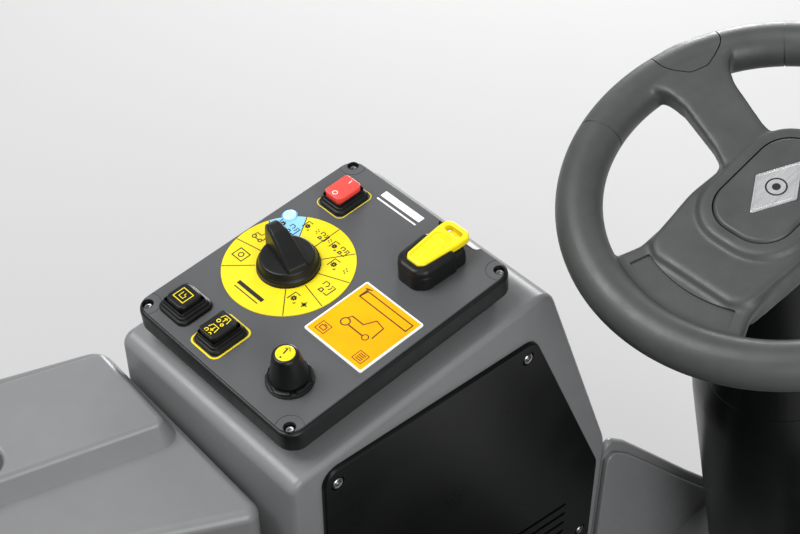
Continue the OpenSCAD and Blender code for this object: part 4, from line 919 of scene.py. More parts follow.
class SWEEPER_OT_side_tanks(bpy.types.Operator):
    """Left tank with its storage pocket and right tank with its filler"""
    bl_idname, bl_label = "sweeper.side_tanks", "Side tanks"

    def execute(self, context):
        edge = context.scene.sweeper_sizes.shell_edge / MM
        for side in ("left", "right"):
            block = prism(fillet(TANK_PLAN, [edge + 2, 60, edge + 4, edge + 16, 90, edge + 10], 7), 232, 795, edge=edge,
                          foot=6, segments=6)
            pad = prism(fillet(PAD_PLAN, [17, 60, 24, 24, 24, 24, 50, 50, 17], 7), 788, 815, edge=4, segments=5,
                        taper=12)
            block = carved(block, [pad], "UNION")
            cuts = [axle(-470, 150, 222, 420, 172, 96), notch()]
            if side == "left":
                cuts.append(cup(rectangle(130, 77, 16, 7, -173, 306.5), 755, 815, 8, 3.5))
            else:
                cuts.append(spun([(40.3, 750), (40.3, 812), (43.5, 815.5), (43.5, 830)], 64,
                                 place=offset_by(-420, 322, 0)))
            block = carved(block, cuts)
            if side == "right":
                mirrored(block)
            piece(side + "_tank_shell", block, "rotomoulded_polyethylene", "frame", (side + "_tank",),
                  sharp=30)
            flip = 1 if side == "left" else -1
            path = [(-470 + 171 * cos(a), flip * 399, 150 + 171 * sin(a)) for a in [radians(28.8 + 122.4 * k / 40)
                                                                                    for k in range(41)]]
            piece(side + "_arch_trim", swept(path, 3.2, 10), "moulded_rubber", "frame")
        lid = spun([(48, 815.2), (48, 824), (46, 827.4), (0, 828.5)], 72)
        for v in lid.verts:
            if v.co.z < 826 and (round(atan2(v.co.y, v.co.x) / tau * 72) % 6) in (0, 5):
                v.co.x *= 0.955
                v.co.y *= 0.955
        prism(rectangle(58, 12, 3, 4), 826, 836.5, edge=2.5, bm=lid, segments=3)
        spun([(39.5, 786), (39.5, 816)], 48, bm=lid)
        piece("filler_cap_finished", moved(lid, offset_by(-420, -322, 0)), "moulded_abs", "cap",
              ("filler_cap",))
        return {"FINISHED"}


class SWEEPER_OT_nose(bpy.types.Operator):
    """Nose walls, footwell end, front cowl, bumper and lamps"""
    bl_idname, bl_label = "sweeper.nose", "Nose"

    def execute(self, context):
        edge = context.scene.sweeper_sizes.shell_edge / MM

        def wall(start, drop, y0, y1, rim):
            line = [(x, z - drop) for x, z in LIP]
            if start > LIP[0][0]:
                (x0, z0), (x1, z1) = [p for p in line if p[0] <= start][-1], [p for p in line if p[0] > start][0]
                line = [(start, z0 + (z1 - z0) * (start - x0) / (x1 - x0))] + [p for p in line if p[0] > start]
            side = [(start, 296)] + line + [(640, line[-1][1]), (640, 296)]
            radii = [0, 8] + [70] * (len(line) - 1) + [0, 0]
            return along_y(prism(fillet(side, radii, 8), y0, y1, edge=rim, foot=rim, segments=4))

        left = joined(wall(375, 0, 104.6, 112, 3.4), wall(375, 14, 100, 105.6, 1.6))
        right = mirrored(joined(wall(440, 0, 104.6, 112, 3.4), wall(440, 14, 100, 105.6, 1.6)))
        floor = bar(394, 640, -108, 108, 342, 347)
        rise = bar(394, 398.5, -108, 108, 300, 343)
        plan = [(604, -128)] + ring_of(128, 49, 662, 0, -pi / 2, pi) + [(604, 128)]
        cowl = prism(plan, 296, 400, edge=edge, foot=2, segments=6)
        hollow = prism(inward(plan, 5), 290, 395)
        aims = [offset_by(662, 0, 362) @ turned(flip * 28) @ turned(90, "Y") for flip in (-1, 1)]
        lamps = [spun([(18.6, 108), (18.6, 140)], 40, place=aim) for aim in aims]
        cowl = carved(cowl, [hollow, bar(536, 626, -38, 38, 340, 392), bar(520, 610, -96, 96, 347, 388)] + lamps)
        piece("nose_shell", joined(left, right, floor, rise, cowl), "rotomoulded_polyethylene", "frame",
              ("nose_cowl",), sharp=30)
        bowl = [(17.6, 112), (17.6, 126.5), (16.6, 129.2), (12, 130.6), (6, 131.2), (0, 131.4)]
        glass = [spun(bowl, 40, place=aim) for aim in aims]
        piece("headlight_lenses", joined(*glass), "lamp_acrylic", "frame", ("headlights",))
        rims = [swept([aim @ Vector((p.x, p.y, 127.4)) for p in ring_of(19.6, 40)], 1.7, 8, closed=True)
                for aim in aims]
        piece("headlight_rims", joined(*rims), "moulded_abs", "frame")
        outer = [(612, -138)] + ring_of(137.5, 49, 662, 0, -pi / 2, pi) + [(612, 138)]
        inner = [(612, -128.4)] + ring_of(128.4, 49, 662, 0, -pi / 2, pi) + [(612, 128.4)]
        guard = bmesh.new()
        layers = [(6, 312), (2, 313.5), (0, 317), (0, 321), (2.2, 323), (2.2, 325), (0, 327), (0, 331), (2, 334.5),
                  (6, 336)]
        rows = [[guard.verts.new((p.x, p.y, z)) for p in inward([Vector(q) for q in outer], d)] for d, z in layers]
        rows.append([guard.verts.new((p[0], p[1], 336)) for p in inner])
        rows.append([guard.verts.new((p[0], p[1], 312)) for p in inner])
        for lower, upper in zip(rows, rows[1:] + rows[:1]):
            for i in range(len(outer) - 1):
                guard.faces.new((lower[i], lower[i + 1], upper[i + 1], upper[i]))
        for end, flip in ((0, False), (-1, True)):
            face = [row[end] for row in rows]
            guard.faces.new(face if flip else face[::-1])
        bmesh.ops.recalc_face_normals(guard, faces=guard.faces)
        piece("bumper_strip", guard, "moulded_rubber", "frame", ("front_bumper",))
        return {"FINISHED"}


class SWEEPER_OT_rear(bpy.types.Operator):
    """Seat hood, recovery tank, its lid and the suction hose"""
    bl_idname, bl_label = "sweeper.rear", "Hood and recovery tank"

    def execute(self, context):
        edge = context.scene.sweeper_sizes.shell_edge / MM
        hood = prism(fillet(HOOD_PLAN, [edge + 4, edge + 4, 60, 16, 16, 60], 6), 290, 565, edge=edge, segments=6)
        inside = prism(inward(fillet(HOOD_PLAN, 6, 3), 5), 285, 558)
        hood = carved(hood, [inside])
        slides = joined(*[bar(-436, -106, y0, y0 + 24, 564, 578, 1.5, 2) for y0 in (128, -152)])
        piece("hood_shell", joined(hood, slides), "rotomoulded_polyethylene", "frame", ("seat_base",))
        x0, x1, wide = -786, -600, 396
        tank = prism(rectangle(x1 - x0, 2 * wide, 22, 6, (x0 + x1) / 2, 0), 312, 800, edge=2, foot=12, segments=5)
        tank = carved(tank, [prism(rectangle(x1 - x0 - 20, 2 * wide - 20, 16, 5, (x0 + x1) / 2, 0), 322, 830),
                             spun([(24, 280), (24, 330)], 40, place=offset_by(-715, 0, 0))])
        neck = carved(spun([(36, 291.8), (36, 313)], 48, place=offset_by(-715, 0, 0)),
                      [spun([(24, 280), (24, 330)], 48, place=offset_by(-715, 0, 0))])
        ribs = [prism(rectangle(7, 96, 3, 3, x0 + 0.2, y), 360, 700, edge=3, foot=3, segments=3)
                for y in (-260, -130, 130, 260)]
        lugs = []
        for flip in (-1, 1):
            y = flip * 275
            lugs.append(axle(-792.5, 794.0, min(y - 25, y + 25), max(y - 25, y + 25), 3, 20))
            for s in (-1, 1):
                lugs.append(axle(-792.5, 794.0, y + s * 19 - 6, y + s * 19 + 6, 6, 24, 0.8))
                lugs.append(bar(-792.5, -785.5, y + s * 19 - 6, y + s * 19 + 6, 782, 794))
        piece("recovery_tank_shell", joined(tank, neck, *ribs, *lugs), "rotomoulded_polyethylene", "frame",
              ("recovery_tank",))
        lid = prism(rectangle(x1 - x0, 2 * wide, 22, 6, (x0 + x1) / 2, 0), 800.6, 846.6, edge=edge, segments=6)
        lid = carved(lid, [prism(rectangle(x1 - x0 - 12, 2 * wide - 12, 16, 5, (x0 + x1) / 2, 0), 790, 840)])
        top = [prism(rectangle(96, 150, 16, 5, -693, y), 845, 849.4, edge=3, segments=3) for y in (-250, 0, 250)]
        barrels = []
        for flip in (-1, 1):
            y = flip * 275
            barrel = carved(axle(-792.5, 794.0, y - 12, y + 12, 6, 24), [axle(-792.5, 794.0, y - 20, y + 20, 3.1, 20)])
            barrels += [barrel, bar(-798.5, -785.5, y - 12, y + 12, 800.6, 814, 0.8),
                        bar(-798.5, -795.4, y - 12, y + 12, 795, 801.6)]
        piece("tank_lid_shell", joined(lid, *top, *barrels), "rotomoulded_polyethylene", "lid",
              ("tank_lid",))
        base = bpy.data.meshes.new("hose_base")
        base.from_pydata([(0, 0, 0)], [], [])
        low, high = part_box("suction_hose")
        tree = node_group("corrugated_hose", [("Bottom", "NodeSocketFloat", 0.12), ("Top", "NodeSocketFloat", 0.29),
                                              ("Rings", "NodeSocketInt", 13), ("Radius", "NodeSocketFloat", 0.026),
                                              ("Ridge", "NodeSocketFloat", 0.002),
                                              ("Centre X", "NodeSocketFloat", -0.715),
                                              ("Finish", "NodeSocketMaterial", None)])
        start = add(tree, "NodeGroupInput")
        foot = add(tree, "ShaderNodeCombineXYZ", {"X": start.outputs["Centre X"], "Z": start.outputs["Bottom"]})
        head = add(tree, "ShaderNodeCombineXYZ", {"X": start.outputs["Centre X"], "Z": start.outputs["Top"]})
        line = add(tree, "GeometryNodeCurvePrimitiveLine", {"Start": foot.outputs[0], "End": head.outputs[0]})
        count = add(tree, "ShaderNodeMath", {0: start.outputs["Rings"], 1: 8.0}, operation="MULTIPLY")
        fine = add(tree, "GeometryNodeResampleCurve", {"Curve": line.outputs[0], "Count": count.outputs[0]})
        along = add(tree, "GeometryNodeSplineParameter")
        turns = add(tree, "ShaderNodeMath", {0: start.outputs["Rings"], 1: tau}, operation="MULTIPLY")
        phase = add(tree, "ShaderNodeMath", {0: along.outputs["Factor"], 1: turns.outputs[0]}, operation="MULTIPLY")
        wave = add(tree, "ShaderNodeMath", {0: phase.outputs[0]}, operation="SINE")
        ridge = add(tree, "ShaderNodeMath", {0: wave.outputs[0], 1: start.outputs["Ridge"], 2: start.outputs["Radius"]},
                    operation="MULTIPLY_ADD")
        ring = add(tree, "GeometryNodeCurvePrimitiveCircle", {"Resolution": 40, "Radius": 1.0})
        skin = add(tree, "GeometryNodeCurveToMesh", {"Curve": fine.outputs[0], "Profile Curve": ring.outputs[0],
                                                     "Scale": ridge.outputs[0],
                                                     "Fill Caps": False})
        real = add(tree, "GeometryNodeRealizeInstances", {"Geometry": skin.outputs[0]})
        coat = add(tree, "GeometryNodeSetMaterial", {"Geometry": real.outputs[0], "Material": start.outputs["Finish"]})
        add(tree, "NodeGroupOutput", {"Geometry": coat.outputs[0]})
        hose = grown("suction_hose_finished", tree, base, {"Bottom": low.z, "Top": high.z + 0.0004, "Rings": 13,
                                                           "Radius": 0.0258,
                                                           "Ridge": 0.0021, "Centre X": -0.715,
                                                           "Finish": finish("moulded_rubber")},
                     "frame", ("suction_hose",), sharp=0)
        hose.parent = None
        del hose["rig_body"]
        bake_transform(hose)
        return {"FINISHED"}


# ---- the control panel ----

def on_panel(u, v, h=0.0):
    """A spot on the panel's face: u to the right, v forward, h above it."""
    return PANEL @ offset_by(v, -u, h)


DIAL = on_panel(-36, -4)
SCREW_AT = [(v, -u) for u in (-83, 83) for v in (-103.5, 103.5)]
BOOTS = {"power": (-59.2, 73, 34, 27.5, 26.2, 20.0), "direction": (-17.5, -85, 34, 27.5, 26.2, 20.0),
         "horn": (-59.5, -85, 32, 32, 22.4, 22.4)}


class SWEEPER_OT_panel(bpy.types.Operator):
    """Panel housing, its printed face, corner screws and switch boots"""
    bl_idname, bl_label = "sweeper.panel", "Control panel"

    def execute(self, context):
        s = context.scene.sweeper_sizes
        tray = prism(rectangle(PANEL_LENGTH, PANEL_WIDTH, 14, 8), -20, -1.5, edge=s.housing_edge / MM, foot=2,
                     segments=4)
        plinth = prism(rectangle(208, 168, 10, 5), -32, -18, foot=1, segments=2)
        bosses = [spun([(4.75, -8), (4.75, -0.3), (4.6, -0.1), (0, -0.1)], 40, place=offset_by(x, y, 0)) for x,
                  y in SCREW_AT]
        wells = [spun([(3.9, -7), (3.9, -0.9), (4.3, 0.2), (4.3, 3)], 40, place=offset_by(x, y, 0)) for x,
                 y in SCREW_AT]
        slot = prism(rectangle(12, 42, 4.9, 5, PANEL_LENGTH / 2, -35), -13.5, 6)
        housing = carved(carved(tray, [plinth] + bosses, "UNION"),
                         wells + [slot, spun([(3.2, -40), (3.2, 4)], 24, place=offset_by(-4, 36, 0)),
                                                                           spun([(3.2, -40), (3.2, 4)], 24,
                                                                                place=offset_by(-76, -51, 0))])
        piece("panel_housing_shell", housing, "moulded_abs", "frame", ("panel_housing",), PANEL)
        face = prism(rectangle(219, 179, 12.5, 6), -1.5, 0, edge=0.35, segments=2)
        cuts = [spun([(4.8, -3), (4.8, 3)], 40, place=offset_by(x, y, 0)) for x, y in SCREW_AT]
        cuts += [stroke(bmesh.new(), ring_of(10.5, 64, x, y), 0.5, -0.45, 3, True) for x, y in SCREW_AT]
        cuts += [prism(rectangle(16, 45, 6, 5, PANEL_LENGTH / 2, -35), -3, 3)]
        cuts += [spun([(3.2, -3), (3.2, 3)], 24, place=offset_by(-4, 36, 0)),
                 spun([(3.2, -3), (3.2, 3)], 24, place=offset_by(-76, -51, 0))]
        for u, v, l, w, hl, hw in BOOTS.values():
            cuts.append(prism(rectangle(hl, hw, x=v, y=-u), -3, 3))
        piece("panel_face", carved(face, cuts), "polycarbonate_film", "frame", ("panel_fascia",), PANEL)
        lines = bmesh.new()
        for key, gap, width in (("power", 1.1, 0.75), ("direction", 1.2, 1.5)):
            u, v, l, w, hl, hw = BOOTS[key]
            stroke(lines, rectangle(l + 2 * gap, w + 2 * gap, 5.2, 6, v, -u), width, 0.02, 0.09, True)
        piece("panel_yellow_lines", lines, "yellow_ink", "frame", place=PANEL)
        white = prism(rectangle(6.4, 44, 0.6, 3, 99, 19.5), 0.02, 0.09)
        stroke(white, [(92.2, 41.4), (92.2, -2.6)], 1.5, 0.02, 0.09)
        piece("panel_white_bar", white, "white_ink", "frame", place=PANEL)
        up = PANEL.to_3x3() @ Vector((0, 0, 1))
        stood_on("panel_screws_finished", socket_screw(3.3, 2.4, 1.7, 1.5), [(PANEL @ Vector((x, y, -5.4)), up) for x,
                                                                             y in SCREW_AT],
                 "zinc_plated_steel", "frame", ("panel_screws",), turn=tau)
        boots = []
        for u, v, l, w, hl, hw in BOOTS.values():
            boot = bmesh.new()
            steps = [(0, 0.0), (0, 2.2), (0.6, 3.1), (1.9, 3.5), (2.2, 3.9), (2.2, 5.1), (2.6, 5.6), (3.5, 5.9),
                     (3.8, 6.3),
                     (3.8, 7.4), (4.1, 7.9), (4.6, 8.1), (4.85, 8.4), (4.85, 8.8), (5.0, 9.0)]
            limit = min((l - hl) / 2, (w - hw) / 2) - 0.3
            outer = rectangle(l, w, 6.5, 7, v, -u)
            rows = [[boot.verts.new((p.x, p.y, z)) for p in inward(outer, min(d, limit))] for d, z in steps]
            hole = rectangle(hl, hw, 1.4, 7, v, -u)
            rows.append([boot.verts.new((p.x, p.y, 9.0)) for p in hole])
            rows.append([boot.verts.new((p.x, p.y, 0.0)) for p in hole])
            for lower, upper in zip(rows, rows[1:] + rows[:1]):
                for i in range(len(outer)):
                    j = (i + 1) % len(outer)
                    boot.faces.new((lower[i], lower[j], upper[j], upper[i]))
            boots.append(boot)
        piece("switch_boots_finished", joined(*boots), "silicone_rubber", "frame", ("switch_boots",),
              PANEL, sharp=50)
        return {"FINISHED"}


class SWEEPER_OT_dial(bpy.types.Operator):
    """Program dial with its sectors, light and knob"""
    bl_idname, bl_label = "sweeper.dial", "Program dial"

    def execute(self, context):
        s = context.scene.sweeper_sizes
        led = turned(139 - 90) @ offset_by(53, 0, 0)
        ring = carved(prism(ring_of(52, 128), 0, 0.8, edge=0.25, segments=2), [prism(ring_of(25, 96), -1, 2),
                                                               moved(prism(ring_of(5.6, 40), -1, 2), led)])
        piece("dial_ring", ring, "yellow_ink", "frame", ("dial_plate",), DIAL)

        def spoke(angle):
            a = radians(angle - 90)
            return Vector((cos(a), sin(a)))

        low, high = 123.75, 157.5
        arc = [low + (high - low) * k / 14 for k in range(15)]
        eco = prism([spoke(a) * 51.7 for a in arc] + [spoke(a) * 25.4 for a in arc[::-1]], 0.78, 0.84)
        eco = carved(eco, [moved(prism(ring_of(6.0, 40), -1, 2), led)])
        piece("dial_eco_sector", eco, "blue_ink", "frame", place=DIAL)
        marks = bmesh.new()
        width = s.dial_line / MM
        for angle in (-45, -11.25, 22.5, 56.25, 90, 123.75, 157.5, 191.25, 225):
            stroke(marks, [spoke(angle) * 25.6, spoke(angle) * 51.6], width, 0.8, 0.89)
        for angle, kinds in ((208, ("box",)), (174, ("vehicle",)), (140, ("brush", "suction")),
                             (107, ("brush", "drops", "suction")),
                             (73, ("drops", "brush", "suction")), (39, ("brush", "drops")), (5.6, ("suction",)),
                             (-28, ("brush", "spark"))):
            centre = spoke(angle) * (39.5 if angle != 140 else 41)
            size = {1: 11.0, 2: 9.0, 3: 7.8}[len(kinds)]
            for k, kind in enumerate(kinds):
                shift = (k - (len(kinds) - 1) / 2) * size * 1.08
                sign(marks, kind, centre.x, centre.y - shift, size, 0.85, 0.7, 0.93)
        stroke(marks, [Vector((-37.6, 14.5)), Vector((-37.6, -14.5))], 3.4, 0.8, 0.89)
        stroke(marks, [Vector((-42.2, 13.5)), Vector((-42.2, -13.5))], 0.9, 0.8, 0.89)
        piece("dial_marks", marks, "black_ink", "frame", place=DIAL)
        lens = spun([(5.5, 0.02), (5.5, 1.5), (5.1, 2.1), (4.2, 2.45), (3.4, 2.25), (0, 2.1)], 40, place=DIAL @ led)
        piece("eco_light", lens, "lit_polycarbonate", "frame", ("led_window",))
        rim = spun([(5.75, 0.2), (6.35, 0.2), (6.35, 1.0), (5.95, 1.45), (5.75, 1.0)], 40, place=DIAL @ led,
                   closed=True)
        piece("eco_light_rim", rim, "blue_ink", "frame")
        skirt = spun([(0, 0.9), (23.6, 0.9), (24.4, 1.5), (24.5, 2.4), (24.5, 4.6), (24.1, 5.6), (23.2, 6.1),
                      (22.9, 6.6), (21.6, 10.6),
                      (20.9, 11.5), (19.8, 11.9), (0, 12.0)], 96)
        side = fillet([(-20.5, 9), (23.0, 9), (24.3, 21), (23.6, 27.5), (17, 31.5), (8, 30.5), (-1, 26), (-10.5, 20),
                       (-18.5, 14.5)],
                      [1, 1.5, 20, 4, 6, 8, 30, 14, 3], 7)
        fin = along_y(prism(side, -9.6, 9.6, edge=3.0, foot=3.0, segments=5))
        for v in fin.verts:
            lift = max(0.0, v.co.z - 11) / 23
            nose = max(0.0, (v.co.x - 4) / 20)
            v.co.y *= (1 - 0.34 * lift) * (1 - 0.3 * nose * nose)
        turn = turned(168 - 90)
        stem = spun([(3, -12), (3, 3)], 24)
        piece("program_knob_finished", joined(skirt, moved(fin, turn), stem), "moulded_abs", "program_selector",
              ("program_knob",), DIAL, sharp=40)
        return {"FINISHED"}


class SWEEPER_OT_switches(bpy.types.Operator):
    """Power and direction rockers, horn button and information knob"""
    bl_idname, bl_label = "sweeper.switches", "Switches"

    def execute(self, context):
        shape = fillet([(-12.4, 3), (12.4, 3), (12.4, 13.5), (7.5, 12.9), (-7.5, 12.9), (-12.4, 13.5)],
                       [0.5, 0.5, 1.2, 14, 14, 1.2], 5)
        for key, body, node, kind, slot in (("power", "power_switch", "power_rocker", "red_abs", "rocker_red"),
                                            ("direction", "direction_switch", "direction_rocker", "moulded_abs",
                                             "dark_plastic")):
            u, v = BOOTS[key][:2]
            cap = along_y(prism(shape, -9.4, 9.4, edge=1.1, foot=1.1, segments=3))
            cap = carved(cap, [prism(rectangle(24.6, 18.6, 4.2, 7), 2, 20)], "INTERSECT")
            piece(node + "_finished", cap, kind, body, (node,), on_panel(u, v), sharp=40)
            marks = bmesh.new()
            if key == "power":
                stroke(marks, ring_of(2.0, 24, 0, 0), 0.55, 0, 0.28, True)
                moved(marks, offset_by(-8.1, 0, 13.0) @ turned(6.5, "Y"))
                one = stroke(bmesh.new(), [(-1.8, 0), (1.8, 0)], 0.6, 0, 0.28)
                moved(one, offset_by(8.1, 0, 13.0) @ turned(-6.5, "Y"))
                piece("power_rocker_marks", joined(marks, one), "white_ink", body, place=on_panel(u, v))
            else:
                sign(marks, "reverse", -5.9, 0, 9.4, 0.75, 12.8, 13.2)
                sign(marks, "forward", 5.5, 0, 9.4, 0.75, 12.8, 13.2)
                piece("direction_rocker_marks", marks, "yellow_ink", body, place=on_panel(u, v))
        u, v = BOOTS["horn"][:2]
        key = prism(rectangle(21.6, 21.6, 5.4, 7), 3.2, 12.6, edge=1.5, segments=4, taper=0.5)
        piece("horn_button_finished", key, "moulded_abs", "horn_switch", ("horn_button",),
              on_panel(u, v), sharp=40)
        piece("horn_button_mark", sign(bmesh.new(), "horn", 0, 0, 11.5, 0.7, 12.5, 12.72), "yellow_ink", "horn_switch",
              place=on_panel(u, v))
        base = spun([(0, 0.0), (17.9, 0.0), (17.9, 1.6), (17.0, 2.2), (17.0, 3.4), (17.6, 3.8), (17.6, 4.6),
                     (17.1, 5.0), (15.6, 5.0),
                     (15.2, 4.6), (3.1, 4.6), (3.1, 4.4), (0, 4.4)], 72)
        for w in base.verts:
            step = round(atan2(w.co.y, w.co.x) / tau * 72) % 12
            if w.co.z > 3.5 and hypot(w.co.x, w.co.y) > 15 and step in (0, 1, 11):
                w.co.z -= 1.9
        piece("info_base_finished", base, "moulded_abs", "frame", ("info_base",), on_panel(51, -76),
              sharp=40)
        knob = spun([(0, 5.4), (13.8, 5.4), (14.5, 6.0), (14.4, 7.4), (13.4, 11.5), (12.4, 16.5), (11.2, 22.5),
                     (10.4, 26.4),
                     (9.9, 28.4), (9.1, 29.4), (8.2, 29.8), (7.4, 29.8), (7.4, 29.0), (0, 29.0)], 96)
        stem = spun([(3, -12), (3, 6)], 24)
        piece("info_knob_finished", joined(knob, stem), "moulded_abs", "info_selector", ("info_knob",),
              on_panel(51, -76), sharp=40)
        cap = spun([(0, 29.02), (7.25, 29.02), (7.25, 29.8), (6.9, 30.15), (6.2, 30.28), (0, 30.3)], 64)
        piece("info_cap_finished", cap, "yellow_abs", "info_selector", ("info_cap",), on_panel(51, -76),
              sharp=40)
        mark = stroke(bmesh.new(), [(-1, 1.2), (3.6, -1.2)], 1.1, 30.26, 30.36)
        stroke(mark, [(4.0, 0.8), (4.6, -2.6), (1.4, -3.4)], 0.7, 30.26, 30.36)
        spot(mark, -4.2, 2.6, 0.8, 30.26, 30.36)
        moved(mark, turned(40))
        piece("info_cap_mark", mark, "black_ink", "info_selector", place=on_panel(51, -76))
        return {"FINISHED"}


class SWEEPER_OT_display(bpy.types.Operator):
    """Display with its white frame, lit glass and plain pictograms"""
    bl_idname, bl_label = "sweeper.display", "Display"

    def execute(self, context):
        place = on_panel(51.5, -5.5)
        frame_edge = carved(prism(rectangle(63, 62.4, 1.6, 4), 0.02, 1.2, edge=0.4, segments=2),
                            [prism(rectangle(60.0, 59.4, 0.8, 3), 0.7, 3)])
        piece("display_frame", frame_edge, "white_ink", "frame", ("lcd_display",), place)
        piece("display_glass_pane", prism(rectangle(59.9, 59.3, 0.7, 3), 0.6, 1.0, edge=0.15, segments=2),
              "display_glass", "frame", place=place)
        ink = bmesh.new()

        def line(*points, width=0.8, closed=False):
            stroke(ink, [Vector((b, -a)) for a, b in points], width * 1.35, 0.9, 1.06, closed)

        line((-24, 17.5), (26, 17.5), (26, 25), (-22.5, 25), closed=True)
        line((-24, 17.5), (-24, 27.5), width=1.2)
        line((-26.5, 25.8), (-21, 27.8), width=0.9)
        ring = ring_of(3.6, 24, -6.5, 13)
        stroke(ink, ring, 1.1, 0.98, 1.05, True)
        stroke(ink, ring_of(2.6, 20, -6.8, -9), 0.9, 0.98, 1.05, True)
        line((-9, -7.2), (6, -7.2), width=0.9)
        line((-14.5, -3.2), (-13, 0.5), (-1, 0.5), (3.5, 9.8), (12.5, 8.2), (13.4, -4.2), width=0.9)
        for a, b in ((-20.5, -21.5), (20.5, -21.5)):
            line((a - 4.6, b - 4.4), (a + 4.6, b - 4.4), (a + 4.6, b + 4.4), (a - 4.6, b + 4.4), width=0.5, closed=True)
        line((-23, -23.5), (-18, -23.5), (-18, -20), (-23, -20), width=0.6, closed=True)
        line((-22, -18.9), (-19, -18.9), width=0.6)
        for k in range(4):
            line((17.5, -24 + 1.7 * k), (23.5, -24 + 1.7 * k), width=0.6)
        piece("display_marks", ink, "brown_ink", "frame", place=place)
        return {"FINISHED"}


class SWEEPER_OT_key(bpy.types.Operator):
    """Key holder and the coded key in it"""
    bl_idname, bl_label = "sweeper.key", "Key"

    def execute(self, context):
        place = on_panel(43.5, 71)
        outline = fillet([(-24, -12), (-19, -16.5), (24, -16.5), (24, 16.5), (-19, 16.5), (-24, 12)],
                         [9, 9, 7, 7, 9, 9], 7)
        block = prism(outline, 0, 14, edge=3.6, foot=0.6, segments=5)
        tongue = bar(-8.6, 26, -6.5, 6.5, 5.5, 9.5)
        pod = prism(fillet([(-27, -9), (-19, -16.2), (12, -18), (12, 18), (-19, 16.2), (-27, 9)], [9, 9, 5, 5, 9, 9],
                           7), 0, 19.0, edge=4.2,
                    foot=0.6, segments=6, taper=0.6)
        nest = prism(fillet([(-19.6, -6), (-15.3, -10), (18, -13.5), (40, -13.5), (40, 13.5), (18, 13.5), (-15.3, 10),
                             (-19.6, 6)],
                            [3, 5, 14, 0, 0, 14, 5, 3], 6), 13.7, 30)
        piece("key_holder_finished", joined(carved(block, [tongue.copy()]), carved(pod, [tongue, nest])), "moulded_abs",
              "frame", ("key_holder",), place, sharp=40)
        shape = fillet([(-19, -6), (-15, -9.5), (18, -13), (28, -13), (31.5, -8), (31.5, 8), (28, 13), (18, 13),
                        (-15, 9.5), (-19, 6)],
                       [3, 5, 14, 5, 5, 5, 5, 14, 5, 3], 6)
        fob = prism(shape, 14.4, 20.4, edge=1.7, foot=1.2, segments=4)
        fob = carved(fob, [cup(rectangle(6, 16, 2.9, 7, 24, 0), 12.4, 20.4, 0.3, 0.9),
                           prism(inward(fillet([(-17, -5), (-14, -7), (14, -9.4), (17, -6), (17, 6), (14, 9.4),
                                                (-14, 7), (-17, 5)], 3, 5), 0.4), 19.9, 23)])
        tip = bar(-7, 27, -6, 6, 6, 9)
        link = bar(24.6, 27.6, -6, 6, 6, 14.6, 0.6)
        ridge = stroke(bmesh.new(), [(14.5 - 8 * (1 - cos(pi * k / 12 - pi / 2)), 5.6 * sin(pi * k / 12 - pi / 2))
                                     for k in range(13)], 0.7, 19.85, 20.2)
        piece("key_fob_finished", joined(fob, tip, link, ridge), "yellow_abs", "key", ("key_fob",), place,
              sharp=40)
        return {"FINISHED"}


# ---- the steering ----

def rim_cut(angle, inner, outer, half):
    """A thin washer round the rim at an angle, that cuts a seam into it."""
    place = turned(angle) @ offset_by(RING_RADIUS, 0, 0) @ turned(90, "X")
    return spun([(inner, -half), (outer, -half), (outer, half), (inner, half)], 48, place=place, closed=True)


